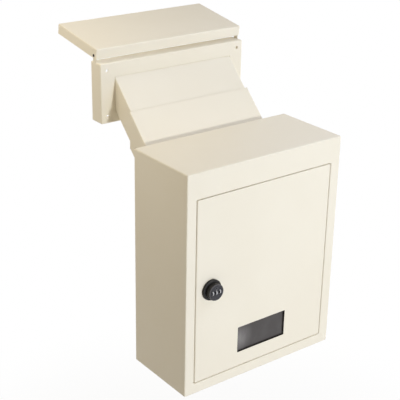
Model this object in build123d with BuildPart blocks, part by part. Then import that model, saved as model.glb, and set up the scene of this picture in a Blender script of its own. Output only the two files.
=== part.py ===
from build123d import *
import os
from math import cos, radians, sin, tan

# Through-wall mailbox: a locking box in the room, a telescoping chute, and a hopper with a lid outside.
# Seen from the room, +X is right, +Y runs out through the wall and +Z is up.
# The origin is the centre of the four wall holes, on the back face of the box.

# Sheet metal
sheet = 1.5
bend_radius = 2.0
corner_radius = 2.5

# Clearances
running = 0.05
snug = 0.02
play = 0.3
cut_fit = 0.3
wall_clear = 2.0

# Box
case_width = 335.0
case_depth = 150.0
case_height = 412.5
rim_side = 20.0
rim_bottom = 20.0
rim_top = 47.0
return_depth = 14.0
back_flange = 15.0

# Wall holes in the back panel
wall_hole_pitch_x = 220.0
wall_hole_pitch_z = 180.0
wall_hole_low = 70.0
wall_hole_radius = 4.0

# Door, let into the rim with an even gap
door_gap = 1.1
door_depth = 14.0
stop_height = 20.0
stop_reach = 8.0
stop_leg = 10.0
stop_inset = 40.0

# Door hinge pins
hinge_inset_x = 9.0
hinge_inset_y = 5.5
pin_radius = 2.0
pin_head_radius = 3.4
pin_head_thickness = 1.5
pin_tail = 6.0
washer_radius = 3.4

# Window
window_width = 109.0
window_height = 50.6
window_sill = 29.9
window_aside = 1.6
window_corner = 1.0
pane_thickness = 3.0
pane_lap = 8.0
retainer_lap = 10.0
retainer_opening_gap = 2.0
retainer_thickness = 1.2
stud_radius = 1.9
stud_edge = 5.0
stud_rise = 22.0
stud_length = 9.0
stud_nut_radius = 4.0
stud_nut_thickness = 3.2

# Lock, placed from the lower left corner of the door opening
lock_from_side = 32.5
lock_from_sill = 175.6
base_radius = 19.0
base_thickness = 5.0
base_fillet = 1.5
barrel_radius = 9.5
barrel_flat = 8.0
barrel_length = 13.0
barrel_nut_radius = 15.0
barrel_nut_thickness = 4.5
barrel_washer_radius = 14.0
barrel_washer_thickness = 1.0

# Knob of the lock
knob_radius = 15.0
knob_body = 8.4
cover_thickness = 1.8
cover_fillet = 1.0
socket_depth = 1.4
spindle_radius = 6.0
spindle_square = 8.0
square_fit = 0.05

# Number wheels, level across the knob
wheel_count = 3
wheel_radius = 4.6
wheel_width = 3.2
wheel_pitch = 7.5
wheel_sunk = 2.9
wheel_room = 0.4
wheel_side_room = 1.2
wheel_digits = 10
notch_radius = 0.35
axle_radius = 1.0
axle_overhang = 3.0

# Button above the wheels
button_radius = 1.5
button_rise = 8.7
button_room = 0.15
button_foot_radius = 2.1
button_foot_thickness = 2.0
button_proud = 0.9
button_travel = 1.5
button_ring_radius = 2.5
button_ring_height = 0.4

# Cam behind the door
cam_washer_radius = 9.0
cam_washer_thickness = 1.5
cam_thickness = 2.5
cam_root_radius = 9.0
cam_width = 14.0
cam_length = 38.5
cam_tip_fillet = 3.0
spindle_short = 0.2
cam_screw_radius = 1.9
cam_screw_length = 7.5
cam_screw_head_radius = 4.2
cam_screw_head = 2.4

# Chute: a fixed sleeve on the box and a narrower chute that slides in it
chute_slope = 45.0
wall_setting = 119.0
chute_run = 104.0
chute_width = 256.4
chute_height = 60.0
chute_flange = 10.0
sleeve_run = 68.0
sleeve_width = 263.4
sleeve_height = 68.6
sleeve_headroom = 0.7
sleeve_flange = 12.0

# Hopper frame outside the wall
frame_width = 315.2
frame_height = 109.0
frame_rise = 115.5
frame_slot_drop = 28.2
frame_hole_inset = 13.0
frame_hole_radius = 2.75

# Lid, drawn open past level
lid_opening = 98.7
lid_side_gap = 0.4
lid_face_gap = 0.5
lid_end_gap = 1.0
lid_lip = 18.2
lid_axis_above_frame = 12.3
lid_axis_from_plate = 18.6
lid_axis_to_face = 13.5
lid_axis_to_end = 7.5
ear_radius = 5.0
ear_front = 4.5
ear_root = 8.0
rivet_radius = 2.0
rivet_head_radius = 2.8
rivet_head = 0.9
rivet_tail_radius = 3.2
rivet_tail = 1.0

# Heights and places worked out from the sizes above
case_bottom = -(wall_hole_low + wall_hole_pitch_z / 2)
case_top = case_bottom + case_height
case_mid = (case_bottom + case_top) / 2
case_front = -case_depth

opening_bottom = case_bottom + rim_bottom
opening_top = case_top - rim_top
opening_mid = (opening_bottom + opening_top) / 2
opening_width = case_width - 2 * rim_side
opening_height = opening_top - opening_bottom

door_bottom = opening_bottom + door_gap
door_top = opening_top - door_gap
door_width = opening_width - 2 * door_gap
door_height = door_top - door_bottom

hinge_x = door_width / 2 - hinge_inset_x
hinge_y = case_front + hinge_inset_y
washer_thickness = door_gap - play

window_mid = opening_bottom + window_sill + window_height / 2
pane_width = window_width + 2 * pane_lap
pane_height = window_height + 2 * pane_lap
pane_front = case_front + sheet
stud_x = pane_width / 2 + stud_edge

lock_x = -opening_width / 2 + lock_from_side
lock_z = opening_bottom + lock_from_sill
knob_back = base_thickness + play
knob_split = knob_back + knob_body
knob_front = knob_split + cover_thickness
axle_to_cover = wheel_sunk - cover_thickness
wheel_y = case_front - knob_front + wheel_sunk
pocket_radius = wheel_radius + wheel_room
pocket_width = wheel_width + 2 * wheel_side_room
axle_length = (wheel_count - 1) * wheel_pitch + wheel_width + 2 * axle_overhang
cam_washer_front = barrel_length + play
cam_front = cam_washer_front + cam_washer_thickness
cam_back = cam_front + cam_thickness

slope_ratio = tan(radians(chute_slope))
upright_sheet = sheet / cos(radians(chute_slope))
upright_headroom = sleeve_headroom / cos(radians(chute_slope))
frame_top = case_top + frame_rise
frame_mid = frame_top - frame_height / 2

lid_axis_y = wall_setting + lid_axis_from_plate
lid_axis_z = frame_top + lid_axis_above_frame
lid_width = frame_width + 2 * (lid_side_gap + sheet)
frame_depth = lid_axis_from_plate + lid_axis_to_face - sheet - lid_face_gap
lid_length = lid_axis_to_end + lid_axis_above_frame + frame_height + lid_end_gap + sheet


def room_side(y, x=0.0, z=0.0):
    """Returns a plane that faces the room, with its own x and y along +X and +Z."""
    return Plane(origin=(x, y, z), x_dir=(1, 0, 0), z_dir=(0, -1, 0))


def wall_side(y, z=0.0):
    """Returns a plane that faces out through the wall."""
    return Plane(origin=(0, y, z), x_dir=(-1, 0, 0), z_dir=(0, 1, 0))


def folded_pan(face, width, height, depth):
    """Folds a sheet on all four sides: its face lies on the plane and its flanges run behind it."""
    with BuildPart() as pan:
        with BuildSketch(face.offset(-depth)):
            RectangleRounded(width, height, corner_radius)
        extrude(amount=depth)
        fillet(pan.edges().group_by(Axis(face.origin, face.z_dir))[-1], bend_radius)
        with BuildSketch(face.offset(-depth)):
            RectangleRounded(width - 2 * sheet, height - 2 * sheet, corner_radius - sheet)
        extrude(amount=depth - sheet, mode=Mode.SUBTRACT)
    return pan.part


def chute_top(y):
    """Returns the height of the sliding chute's upper face at a distance behind the box."""
    return frame_top - frame_slot_drop + (y - wall_setting) * slope_ratio


def sleeve_top(y):
    """Returns the height of the fixed sleeve's upper face, which runs over the chute's."""
    return chute_top(y) + upright_headroom + upright_sheet


def sloping_bar(y_low, y_high, top, height, width):
    """Makes a solid bar with upright ends that follows a sloping line of upper heights."""
    with BuildPart() as bar:
        with BuildSketch(Plane.YZ):
            Polygon(
                (y_low, top(y_low)),
                (y_high, top(y_high)),
                (y_high, top(y_high) - height),
                (y_low, top(y_low) - height),
                align=None,
            )
        extrude(amount=width / 2, both=True)
    return bar.part


def sloping_bore(y_low, y_high, top, height, width):
    """Makes the inside of a sloping tube, one sheet smaller all round and longer at both ends."""
    return sloping_bar(
        y_low - sheet,
        y_high + sheet,
        lambda y: top(y) - upright_sheet,
        height - 2 * upright_sheet,
        width - 2 * sheet,
    )


def double_d(radius, half_flat):
    """Sketches the circle with two flats that keeps a lock from turning in its hole."""
    Circle(radius)
    Rectangle(2 * radius, 2 * half_flat, mode=Mode.INTERSECT)


def side_on(x, y, z):
    """Returns a plane across the object that faces +X, with its own x and y along +Y and +Z."""
    return Plane(origin=(x, y, z), x_dir=(0, 1, 0), z_dir=(1, 0, 0))


def wheel_window(x):
    """Makes the round space that one number wheel turns in."""
    with BuildPart() as window:
        with BuildSketch(side_on(x, wheel_y, lock_z)):
            Circle(pocket_radius)
        extrude(amount=pocket_width / 2, both=True)
    return window.part


def wheel_pocket(x):
    """Makes the same space with straight sides up to the cover, so that the wheel drops in."""
    with BuildPart() as pocket:
        add(wheel_window(x))
        with BuildSketch(side_on(x, wheel_y, lock_z)):
            with Locations((-axle_to_cover / 2, 0)):
                Rectangle(axle_to_cover, 2 * pocket_radius)
        extrude(amount=pocket_width / 2, both=True)
    return pocket.part


os.makedirs("parts", exist_ok=True)

# Case shell: four sides and the front rim, which folds back around the door opening
with BuildPart() as case_shell:
    add(folded_pan(room_side(case_front, z=case_mid), case_width, case_height, case_depth))
    with BuildSketch(room_side(case_front, z=opening_mid)):
        RectangleRounded(opening_width + 2 * sheet, opening_height + 2 * sheet, corner_radius + sheet)
    extrude(amount=-return_depth)
    with BuildSketch(room_side(case_front, z=opening_mid)):
        RectangleRounded(opening_width, opening_height, corner_radius)
    extrude(amount=-return_depth, mode=Mode.SUBTRACT)
    rim_face = case_shell.faces().sort_by(Axis.Y)[0]
    fillet(rim_face.inner_wires()[0].edges(), bend_radius)
    for lip in (opening_bottom - sheet, opening_top):
        with BuildSketch(Plane.XY.offset(lip)):
            with Locations((hinge_x, hinge_y)):
                Circle(pin_radius + snug)
        extrude(amount=sheet, mode=Mode.SUBTRACT)
case_shell.part.label = "case_shell"
export_step(case_shell.part, "parts/case_shell.step")

# Back panel, welded inside the shell, with the wall holes and the cut-out for the sleeve
with BuildPart() as back_panel:
    add(folded_pan(wall_side(0.0, case_mid), case_width - 2 * sheet, case_height - 2 * sheet, back_flange))
    with BuildSketch(wall_side(0.0)):
        with GridLocations(wall_hole_pitch_x, wall_hole_pitch_z, 2, 2):
            Circle(wall_hole_radius)
    extrude(amount=-sheet, mode=Mode.SUBTRACT)
    cut_low = sleeve_top(-sheet) - sleeve_height - cut_fit
    cut_high = sleeve_top(wall_clear) + cut_fit
    with BuildSketch(wall_side(0.0, (cut_low + cut_high) / 2)):
        Rectangle(sleeve_width + 2 * cut_fit, cut_high - cut_low)
    extrude(amount=-sheet, mode=Mode.SUBTRACT)
back_panel.part.label = "back_panel"
export_step(back_panel.part, "parts/back_panel.step")

# Chute sleeve: the sloping tube fixed to the back panel by a flange inside the box
sleeve_inner_end = -2 * sheet
with BuildPart() as chute_sleeve:
    add(sloping_bar(sleeve_inner_end, sleeve_run, sleeve_top, sleeve_height, sleeve_width))
    flange_mid = sleeve_top(-1.5 * sheet) - sleeve_height / 2
    with BuildSketch(wall_side(-sheet, flange_mid)):
        Rectangle(sleeve_width + 2 * sleeve_flange, sleeve_height + 2 * sleeve_flange)
    extrude(amount=-sheet)
    bore = sloping_bore(sleeve_inner_end, sleeve_run, sleeve_top, sleeve_height, sleeve_width)
    add(bore, mode=Mode.SUBTRACT)
chute_sleeve.part.label = "chute_sleeve"
export_step(chute_sleeve.part, "parts/chute_sleeve.step")

# Door stops: two tabs on the rim's return, just behind the free edge of the door
stop_x = -opening_width / 2 - sheet
stop_toe = -door_width / 2 + stop_reach
stop_front = case_front + max(door_depth, return_depth) + play
with BuildPart() as door_stops:
    for height in (opening_bottom + stop_inset, opening_top - stop_inset - stop_height):
        with BuildSketch(Plane.XY.offset(height)):
            Polygon(
                (stop_x - sheet, stop_front - stop_leg),
                (stop_x, stop_front - stop_leg),
                (stop_x, stop_front),
                (stop_toe, stop_front),
                (stop_toe, stop_front + sheet),
                (stop_x - sheet, stop_front + sheet),
                align=None,
            )
        extrude(amount=stop_height)
door_stops.part.label = "door_stops"
export_step(door_stops.part, "parts/door_stops.step")

# Hinge pins: headed pins held in the rim's return above and below the door
with BuildPart() as hinge_pins:
    for lip, way in ((opening_bottom - sheet, 1), (opening_top + sheet, -1)):
        with BuildSketch(Plane.XY.offset(lip)):
            with Locations((hinge_x, hinge_y)):
                Circle(pin_head_radius)
        extrude(amount=-way * pin_head_thickness)
        with BuildSketch(Plane.XY.offset(lip)):
            with Locations((hinge_x, hinge_y)):
                Circle(pin_radius)
        extrude(amount=way * (2 * sheet + door_gap + pin_tail))
hinge_pins.part.label = "hinge_pins"
export_step(hinge_pins.part, "parts/hinge_pins.step")

# Hinge washers: nylon rings that carry the door on its pins
with BuildPart() as hinge_washers:
    for lip, way in ((opening_bottom, 1), (opening_top, -1)):
        with BuildSketch(Plane.XY.offset(lip)):
            with Locations((hinge_x, hinge_y)):
                Circle(washer_radius)
                Circle(pin_radius + running, mode=Mode.SUBTRACT)
        extrude(amount=way * washer_thickness)
hinge_washers.part.label = "hinge_washers"
export_step(hinge_washers.part, "parts/hinge_washers.step")

# Door panel: a pan with the window and lock cut out, hung on pins in its top and bottom flanges
lock_face = room_side(case_front, lock_x, lock_z)
with BuildPart() as door_panel:
    add(folded_pan(room_side(case_front, z=opening_mid), door_width, door_height, door_depth))
    with BuildSketch(room_side(case_front, window_aside, window_mid)):
        RectangleRounded(window_width, window_height, window_corner)
    extrude(amount=-sheet, mode=Mode.SUBTRACT)
    with BuildSketch(lock_face):
        double_d(barrel_radius + snug, barrel_flat + snug)
    extrude(amount=-sheet, mode=Mode.SUBTRACT)
    for flange in (door_bottom, door_top - sheet):
        with BuildSketch(Plane.XY.offset(flange)):
            with Locations((hinge_x, hinge_y)):
                Circle(pin_radius + running)
        extrude(amount=sheet, mode=Mode.SUBTRACT)
door_panel.part.label = "door_panel"
export_step(door_panel.part, "parts/door_panel.step")

# Window pane: smoked sheet behind the door
with BuildPart() as window_pane:
    with BuildSketch(room_side(pane_front, window_aside, window_mid)):
        RectangleRounded(pane_width, pane_height, window_corner)
    extrude(amount=-pane_thickness)
window_pane.part.label = "window_pane"
export_step(window_pane.part, "parts/window_pane.step")

# Window retainer: a flat ring that clamps the pane against the door
retainer_front = pane_front + pane_thickness
with BuildPart() as window_retainer:
    with BuildSketch(room_side(retainer_front, window_aside, window_mid)):
        RectangleRounded(pane_width + 2 * retainer_lap, pane_height + 2 * retainer_lap, corner_radius)
        Rectangle(
            window_width + 2 * retainer_opening_gap,
            window_height + 2 * retainer_opening_gap,
            mode=Mode.SUBTRACT,
        )
        with GridLocations(2 * stud_x, 2 * stud_rise, 2, 2):
            Circle(stud_radius + running, mode=Mode.SUBTRACT)
    extrude(amount=-retainer_thickness)
window_retainer.part.label = "window_retainer"
export_step(window_retainer.part, "parts/window_retainer.step")

# Window studs, welded to the back of the door beside the pane
with BuildPart() as window_studs:
    with BuildSketch(room_side(pane_front, window_aside, window_mid)):
        with GridLocations(2 * stud_x, 2 * stud_rise, 2, 2):
            Circle(stud_radius)
    extrude(amount=-stud_length)
window_studs.part.label = "window_studs"
export_step(window_studs.part, "parts/window_studs.step")

# Window nuts, which press the retainer on the pane
with BuildPart() as window_nuts:
    with BuildSketch(room_side(retainer_front + retainer_thickness, window_aside, window_mid)):
        with GridLocations(2 * stud_x, 2 * stud_rise, 2, 2):
            RegularPolygon(stud_nut_radius, 6)
            Circle(stud_radius + running, mode=Mode.SUBTRACT)
    extrude(amount=-stud_nut_thickness)
window_nuts.part.label = "window_nuts"
export_step(window_nuts.part, "parts/window_nuts.step")

# Lock housing: a round base on the door and a flatted barrel through it
with BuildPart() as lock_housing:
    with BuildSketch(lock_face):
        Circle(base_radius)
    extrude(amount=base_thickness)
    fillet(lock_housing.edges().sort_by(Axis.Y)[0], base_fillet)
    with BuildSketch(lock_face):
        double_d(barrel_radius, barrel_flat)
    extrude(amount=-barrel_length)
    with BuildSketch(lock_face.offset(base_thickness)):
        Circle(spindle_radius + running)
    extrude(amount=-(base_thickness + barrel_length), mode=Mode.SUBTRACT)
lock_housing.part.label = "lock_housing"
export_step(lock_housing.part, "parts/lock_housing.step")

# Lock washer, behind the door
with BuildPart() as lock_washer:
    with BuildSketch(lock_face.offset(-sheet)):
        Circle(barrel_washer_radius)
        Circle(barrel_radius + running, mode=Mode.SUBTRACT)
    extrude(amount=-barrel_washer_thickness)
lock_washer.part.label = "lock_washer"
export_step(lock_washer.part, "parts/lock_washer.step")

# Lock nut, on the barrel
with BuildPart() as lock_nut:
    with BuildSketch(lock_face.offset(-sheet - barrel_washer_thickness)):
        RegularPolygon(barrel_nut_radius, 6)
        Circle(barrel_radius + running, mode=Mode.SUBTRACT)
    extrude(amount=-barrel_nut_thickness)
lock_nut.part.label = "lock_nut"
export_step(lock_nut.part, "parts/lock_nut.step")

# Lock knob: the turning body, pocketed for the wheels, their axle and the button
wheel_places = [lock_x + wheel_pitch * (n - (wheel_count - 1) / 2) for n in range(wheel_count)]
button_well = button_foot_thickness + button_travel + 2 * play
with BuildPart() as lock_knob:
    with BuildSketch(lock_face.offset(knob_back)):
        Circle(knob_radius)
    extrude(amount=knob_body)
    with BuildSketch(lock_face.offset(knob_back)):
        Circle(spindle_radius + snug)
    extrude(amount=socket_depth, mode=Mode.SUBTRACT)
    for place in wheel_places:
        add(wheel_pocket(place), mode=Mode.SUBTRACT)
    with BuildSketch(side_on(lock_x - axle_length / 2, wheel_y, lock_z)):
        Circle(axle_radius + snug)
        with Locations((-axle_to_cover / 2, 0)):
            Rectangle(axle_to_cover, 2 * (axle_radius + snug))
    extrude(amount=axle_length, mode=Mode.SUBTRACT)
    with BuildSketch(lock_face.offset(knob_split)):
        with Locations((0, button_rise)):
            Circle(button_foot_radius + play)
    extrude(amount=-button_well, mode=Mode.SUBTRACT)
lock_knob.part.label = "lock_knob"
export_step(lock_knob.part, "parts/lock_knob.step")

# Knob cover: the face with three wheel windows and a ringed hole for the button
with BuildPart() as knob_cover:
    with BuildSketch(lock_face.offset(knob_split)):
        Circle(knob_radius)
    extrude(amount=cover_thickness)
    fillet(knob_cover.edges().sort_by(Axis.Y)[0], cover_fillet)
    with BuildSketch(lock_face.offset(knob_front)):
        with Locations((0, button_rise)):
            Circle(button_ring_radius)
    extrude(amount=button_ring_height)
    with BuildSketch(lock_face.offset(knob_split)):
        with Locations((0, button_rise)):
            Circle(button_radius + button_room)
    extrude(amount=cover_thickness + button_ring_height, mode=Mode.SUBTRACT)
    for place in wheel_places:
        add(wheel_window(place), mode=Mode.SUBTRACT)
knob_cover.part.label = "knob_cover"
export_step(knob_cover.part, "parts/knob_cover.step")

# Wheel axle, across the knob
with BuildPart() as wheel_axle:
    with BuildSketch(side_on(lock_x - axle_length / 2, wheel_y, lock_z)):
        Circle(axle_radius)
    extrude(amount=axle_length)
wheel_axle.part.label = "wheel_axle"
export_step(wheel_axle.part, "parts/wheel_axle.step")

# Number wheels, notched between their digits
for number, place in enumerate(wheel_places, start=1):
    with BuildPart() as number_wheel:
        with BuildSketch(side_on(place, wheel_y, lock_z)):
            Circle(wheel_radius)
            with PolarLocations(wheel_radius, wheel_digits, start_angle=180 / wheel_digits):
                Circle(notch_radius, mode=Mode.SUBTRACT)
            Circle(axle_radius + running, mode=Mode.SUBTRACT)
        extrude(amount=wheel_width / 2, both=True)
    number_wheel.part.label = f"number_wheel_{number}"
    export_step(number_wheel.part, f"parts/number_wheel_{number}.step")

# Code button: a stem through the cover on a wider foot
with BuildPart() as code_button:
    with BuildSketch(lock_face.offset(knob_split - play)):
        with Locations((0, button_rise)):
            Circle(button_foot_radius)
    extrude(amount=-button_foot_thickness)
    with BuildSketch(lock_face.offset(knob_split - play)):
        with Locations((0, button_rise)):
            Circle(button_radius)
    extrude(amount=play + cover_thickness + button_proud)
code_button.part.label = "code_button"
export_step(code_button.part, "parts/code_button.step")

# Lock spindle: round through the housing, then square for the cam
with BuildPart() as lock_spindle:
    with BuildSketch(lock_face.offset(knob_back + socket_depth - running)):
        Circle(spindle_radius)
    extrude(amount=-(knob_back + socket_depth - running + cam_washer_front))
    with BuildSketch(lock_face.offset(-cam_washer_front)):
        Rectangle(spindle_square, spindle_square)
    extrude(amount=-(cam_back - spindle_short - cam_washer_front))
    with BuildSketch(lock_face.offset(-cam_back)):
        Circle(cam_screw_radius + snug)
    extrude(amount=cam_screw_length + running, mode=Mode.SUBTRACT)
lock_spindle.part.label = "lock_spindle"
export_step(lock_spindle.part, "parts/lock_spindle.step")

# Cam washer, between the housing and the cam
with BuildPart() as cam_washer:
    with BuildSketch(lock_face.offset(-cam_washer_front)):
        Circle(cam_washer_radius)
        Rectangle(spindle_square + 2 * square_fit, spindle_square + 2 * square_fit, mode=Mode.SUBTRACT)
    extrude(amount=-cam_washer_thickness)
cam_washer.part.label = "cam_washer"
export_step(cam_washer.part, "parts/cam_washer.step")

# Lock cam, drawn hanging down, which is its open position
with BuildPart() as lock_cam:
    with BuildSketch(lock_face.offset(-cam_front)) as cam_outline:
        with Locations((0, -cam_length / 2)):
            Rectangle(cam_width, cam_length)
        fillet(cam_outline.vertices().group_by(Axis.Y)[0], cam_tip_fillet)
        Circle(cam_root_radius)
        Rectangle(spindle_square + 2 * square_fit, spindle_square + 2 * square_fit, mode=Mode.SUBTRACT)
    extrude(amount=-cam_thickness)
lock_cam.part.label = "lock_cam"
export_step(lock_cam.part, "parts/lock_cam.step")

# Cam screw, which holds the cam on the spindle
with BuildPart() as cam_screw:
    with BuildSketch(lock_face.offset(-cam_back)):
        Circle(cam_screw_head_radius)
    extrude(amount=-cam_screw_head)
    with BuildSketch(lock_face.offset(-cam_back)):
        Circle(cam_screw_radius)
    extrude(amount=cam_screw_length)
cam_screw.part.label = "cam_screw"
export_step(cam_screw.part, "parts/cam_screw.step")

# Hopper frame: a pan against the outer wall with the mail slot, four screw holes and two ears
slot_low = chute_top(wall_setting - wall_clear) - chute_height - cut_fit
slot_high = chute_top(wall_setting + sheet) + cut_fit
with BuildPart() as hopper_frame:
    add(folded_pan(room_side(wall_setting, z=frame_mid), frame_width, frame_height, frame_depth))
    with BuildSketch(room_side(wall_setting, z=(slot_low + slot_high) / 2)):
        Rectangle(chute_width + 2 * cut_fit, slot_high - slot_low)
    extrude(amount=-sheet, mode=Mode.SUBTRACT)
    with BuildSketch(room_side(wall_setting, z=frame_mid)):
        with GridLocations(frame_width - 2 * frame_hole_inset, frame_height - 2 * frame_hole_inset, 2, 2):
            Circle(frame_hole_radius)
    extrude(amount=-sheet, mode=Mode.SUBTRACT)
    for side in (frame_width / 2 - sheet, -frame_width / 2):
        with BuildSketch(side_on(side, lid_axis_y, lid_axis_z)):
            Circle(ear_radius)
            with Locations(((ear_radius - ear_front) / 2, -(lid_axis_above_frame + ear_root) / 2)):
                Rectangle(ear_radius + ear_front, lid_axis_above_frame + ear_root)
            Circle(rivet_radius + running, mode=Mode.SUBTRACT)
        extrude(amount=sheet)
hopper_frame.part.label = "hopper_frame"
export_step(hopper_frame.part, "parts/hopper_frame.step")

# Inner chute: the sloping tube that passes through the slot and slides in the sleeve
chute_low_end = wall_setting - chute_run
chute_high_end = wall_setting + 2 * sheet
with BuildPart() as inner_chute:
    add(sloping_bar(chute_low_end, chute_high_end, chute_top, chute_height, chute_width))
    collar_mid = chute_top(wall_setting + 1.5 * sheet) - chute_height / 2
    with BuildSketch(wall_side(wall_setting + sheet, collar_mid)):
        Rectangle(chute_width + 2 * chute_flange, chute_height + 2 * chute_flange)
    extrude(amount=sheet)
    bore = sloping_bore(chute_low_end, chute_high_end, chute_top, chute_height, chute_width)
    add(bore, mode=Mode.SUBTRACT)
inner_chute.part.label = "inner_chute"
export_step(inner_chute.part, "parts/inner_chute.step")

# Lid: a pan that caps the frame when closed, drawn swung open about its rivets
outward = (0, cos(radians(lid_opening)), sin(radians(lid_opening)))
along = (0, -sin(radians(lid_opening)), cos(radians(lid_opening)))
lid_centre = lid_axis_to_end - lid_length / 2
lid_plane = Plane(
    origin=(
        0,
        lid_axis_y + lid_axis_to_face * outward[1] + lid_centre * along[1],
        lid_axis_z + lid_axis_to_face * outward[2] + lid_centre * along[2],
    ),
    x_dir=(-1, 0, 0),
    z_dir=outward,
)
with BuildPart() as lid:
    add(folded_pan(lid_plane, lid_width, lid_length, lid_lip))
    for side in (lid_width / 2 - sheet, -lid_width / 2):
        with BuildSketch(side_on(side, lid_axis_y, lid_axis_z)):
            Circle(rivet_radius + snug)
        extrude(amount=sheet, mode=Mode.SUBTRACT)
lid.part.label = "lid"
export_step(lid.part, "parts/lid.step")

# Lid rivets: the two pivots, headed outside the lid and inside the ears
rivet_length = 2 * sheet + lid_side_gap + play
with BuildPart() as lid_rivets:
    for way in (-1, 1):
        start = Plane(
            origin=(way * lid_width / 2, lid_axis_y, lid_axis_z), x_dir=(0, 1, 0), z_dir=(way, 0, 0)
        )
        with BuildSketch(start):
            Circle(rivet_head_radius)
        extrude(amount=rivet_head)
        with BuildSketch(start):
            Circle(rivet_radius)
        extrude(amount=-rivet_length)
        with BuildSketch(start.offset(-rivet_length)):
            Circle(rivet_tail_radius)
        extrude(amount=-rivet_tail)
lid_rivets.part.label = "lid_rivets"
export_step(lid_rivets.part, "parts/lid_rivets.step")
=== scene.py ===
"""Dresses the through-wall mailbox: a locking box, a telescoping chute and a hopper with a lid.

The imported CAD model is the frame. This script paints its sheets, builds the lock, the fasteners, the hinge
and the welds as finished meshes where the CAD has them, and sets a plain studio and the camera round them.
Sizes are in millimetres and meshes in metres, in the frame's own axes: +X to the right as seen from the
room, +Y out through the wall and +Z up.
"""

import logging
import math
from dataclasses import dataclass
from enum import Enum
from typing import Callable, ClassVar, Iterable, Sequence

import bmesh
import bpy
from mathutils import Matrix, Vector

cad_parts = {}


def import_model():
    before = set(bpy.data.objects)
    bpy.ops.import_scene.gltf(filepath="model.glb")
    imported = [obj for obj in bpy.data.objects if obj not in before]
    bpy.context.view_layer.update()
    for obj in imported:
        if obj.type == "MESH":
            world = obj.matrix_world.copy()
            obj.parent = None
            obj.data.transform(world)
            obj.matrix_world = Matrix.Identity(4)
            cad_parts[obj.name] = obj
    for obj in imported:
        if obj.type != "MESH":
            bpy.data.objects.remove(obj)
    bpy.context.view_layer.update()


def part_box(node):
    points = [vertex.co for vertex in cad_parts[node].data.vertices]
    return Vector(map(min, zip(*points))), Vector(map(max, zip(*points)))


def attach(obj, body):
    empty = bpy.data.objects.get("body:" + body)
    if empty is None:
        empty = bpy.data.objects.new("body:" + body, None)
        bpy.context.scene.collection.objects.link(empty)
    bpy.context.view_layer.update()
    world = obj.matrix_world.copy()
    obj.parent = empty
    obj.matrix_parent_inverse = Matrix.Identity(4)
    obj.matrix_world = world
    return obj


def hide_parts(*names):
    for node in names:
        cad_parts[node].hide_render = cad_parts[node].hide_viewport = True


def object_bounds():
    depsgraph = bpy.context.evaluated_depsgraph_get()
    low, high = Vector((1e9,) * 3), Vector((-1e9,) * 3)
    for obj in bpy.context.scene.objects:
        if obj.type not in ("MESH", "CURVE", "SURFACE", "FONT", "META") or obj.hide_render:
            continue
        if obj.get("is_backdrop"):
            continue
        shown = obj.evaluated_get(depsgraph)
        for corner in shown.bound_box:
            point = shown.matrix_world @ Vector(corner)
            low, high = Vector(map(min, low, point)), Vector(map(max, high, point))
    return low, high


log = logging.getLogger("mailbox")

MM = 0.001
NEAR = 1e-6  # metres within which two points are one
SHEET = 1.5  # thickness of every steel sheet
BEND = 2.0  # outside radius of a fold
SHARP = math.radians(38)  # faces that meet at more than this keep a sharp edge
FOLD = math.radians(32)  # edges that turn more than this are rounded
PAST = 1.0  # how far a cutting tool runs past what it cuts
THROUGH = 1.2  # how long a hole's tool is, as a share of what it goes through
FLAT = math.radians(0.5)  # faces that meet at less than this become one
DIGITS = 10  # how many digits a wheel has

Colour = tuple[float, float, float]
Point = tuple[float, ...]
WHITE: Colour = (1.0, 1.0, 1.0)


class Body(Enum):
    """The moving bodies of the frame."""

    CASE = "case"
    DOOR = "door"
    KNOB = "knob"
    WHEEL_1 = "wheel_1"
    WHEEL_2 = "wheel_2"
    WHEEL_3 = "wheel_3"
    BUTTON = "button"
    HOPPER = "hopper"
    LID = "lid"


class Slot(Enum):
    """The material slots of the record."""

    IVORY = "ivory_steel"
    BLACK_METAL = "black_metal"
    BLACK_PLASTIC = "black_plastic"
    WHEEL = "white_wheel"
    PANE = "smoked_pane"
    ZINC = "zinc_steel"
    NYLON = "nylon"


@dataclass(frozen=True)
class Steps:
    """How many steps go round each kind of round piece."""

    bead: int = 8
    pin: int = 40
    rivet: int = 40
    well: int = 40
    stud: int = 40
    bore: int = 48
    button: int = 48
    screw: int = 48
    chamfer: int = 60
    pocket: int = 72
    barrel: int = 72
    base: int = 96
    face: int = 112
    wheel: int = 120
    washer: int = 144
    grip: int = 160


STEPS = Steps()


class Socket:
    """Wraps the output of a node, so that maths on it reads as plain Python."""

    def __init__(self, graph: "Graph", socket: bpy.types.NodeSocket) -> None:
        """Keeps the graph that new nodes go into and the socket to link from."""
        self.graph = graph
        self.socket = socket

    def other(self, name: str) -> "Socket":
        """Returns another output of the same node."""
        return Socket(self.graph, self.socket.node.outputs[name])

    def maths(self, operation: str, *values: "Socket | float") -> "Socket":
        """Returns the result of a Math node on this value.

        Args:
            operation: the Math node's operation.
            values: what follows this value in the node's inputs.
        """
        inputs = dict(enumerate((self, *values)))
        return self.graph.node("ShaderNodeMath", {"operation": operation}, inputs)

    def __add__(self, value: "Socket | float") -> "Socket":
        """Returns the sum."""
        return self.maths("ADD", value)

    def __sub__(self, value: "Socket | float") -> "Socket":
        """Returns the difference."""
        return self.maths("SUBTRACT", value)

    def __rsub__(self, value: float) -> "Socket":
        """Returns a number less this value."""
        return self.maths("MULTIPLY_ADD", -1.0, value)

    def __mul__(self, value: "Socket | float") -> "Socket":
        """Returns the product."""
        return self.maths("MULTIPLY", value)

    def __truediv__(self, value: "Socket | float") -> "Socket":
        """Returns the quotient."""
        return self.maths("DIVIDE", value)

    def between(self, low: float, high: float) -> "Socket":
        """Returns 0 below low, 1 above high and a smooth step between them."""
        return self.graph.node(
            "ShaderNodeMapRange",
            {"interpolation_type": "SMOOTHSTEP"},
            {"Value": self, "From Min": low, "From Max": high},
        )


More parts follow.
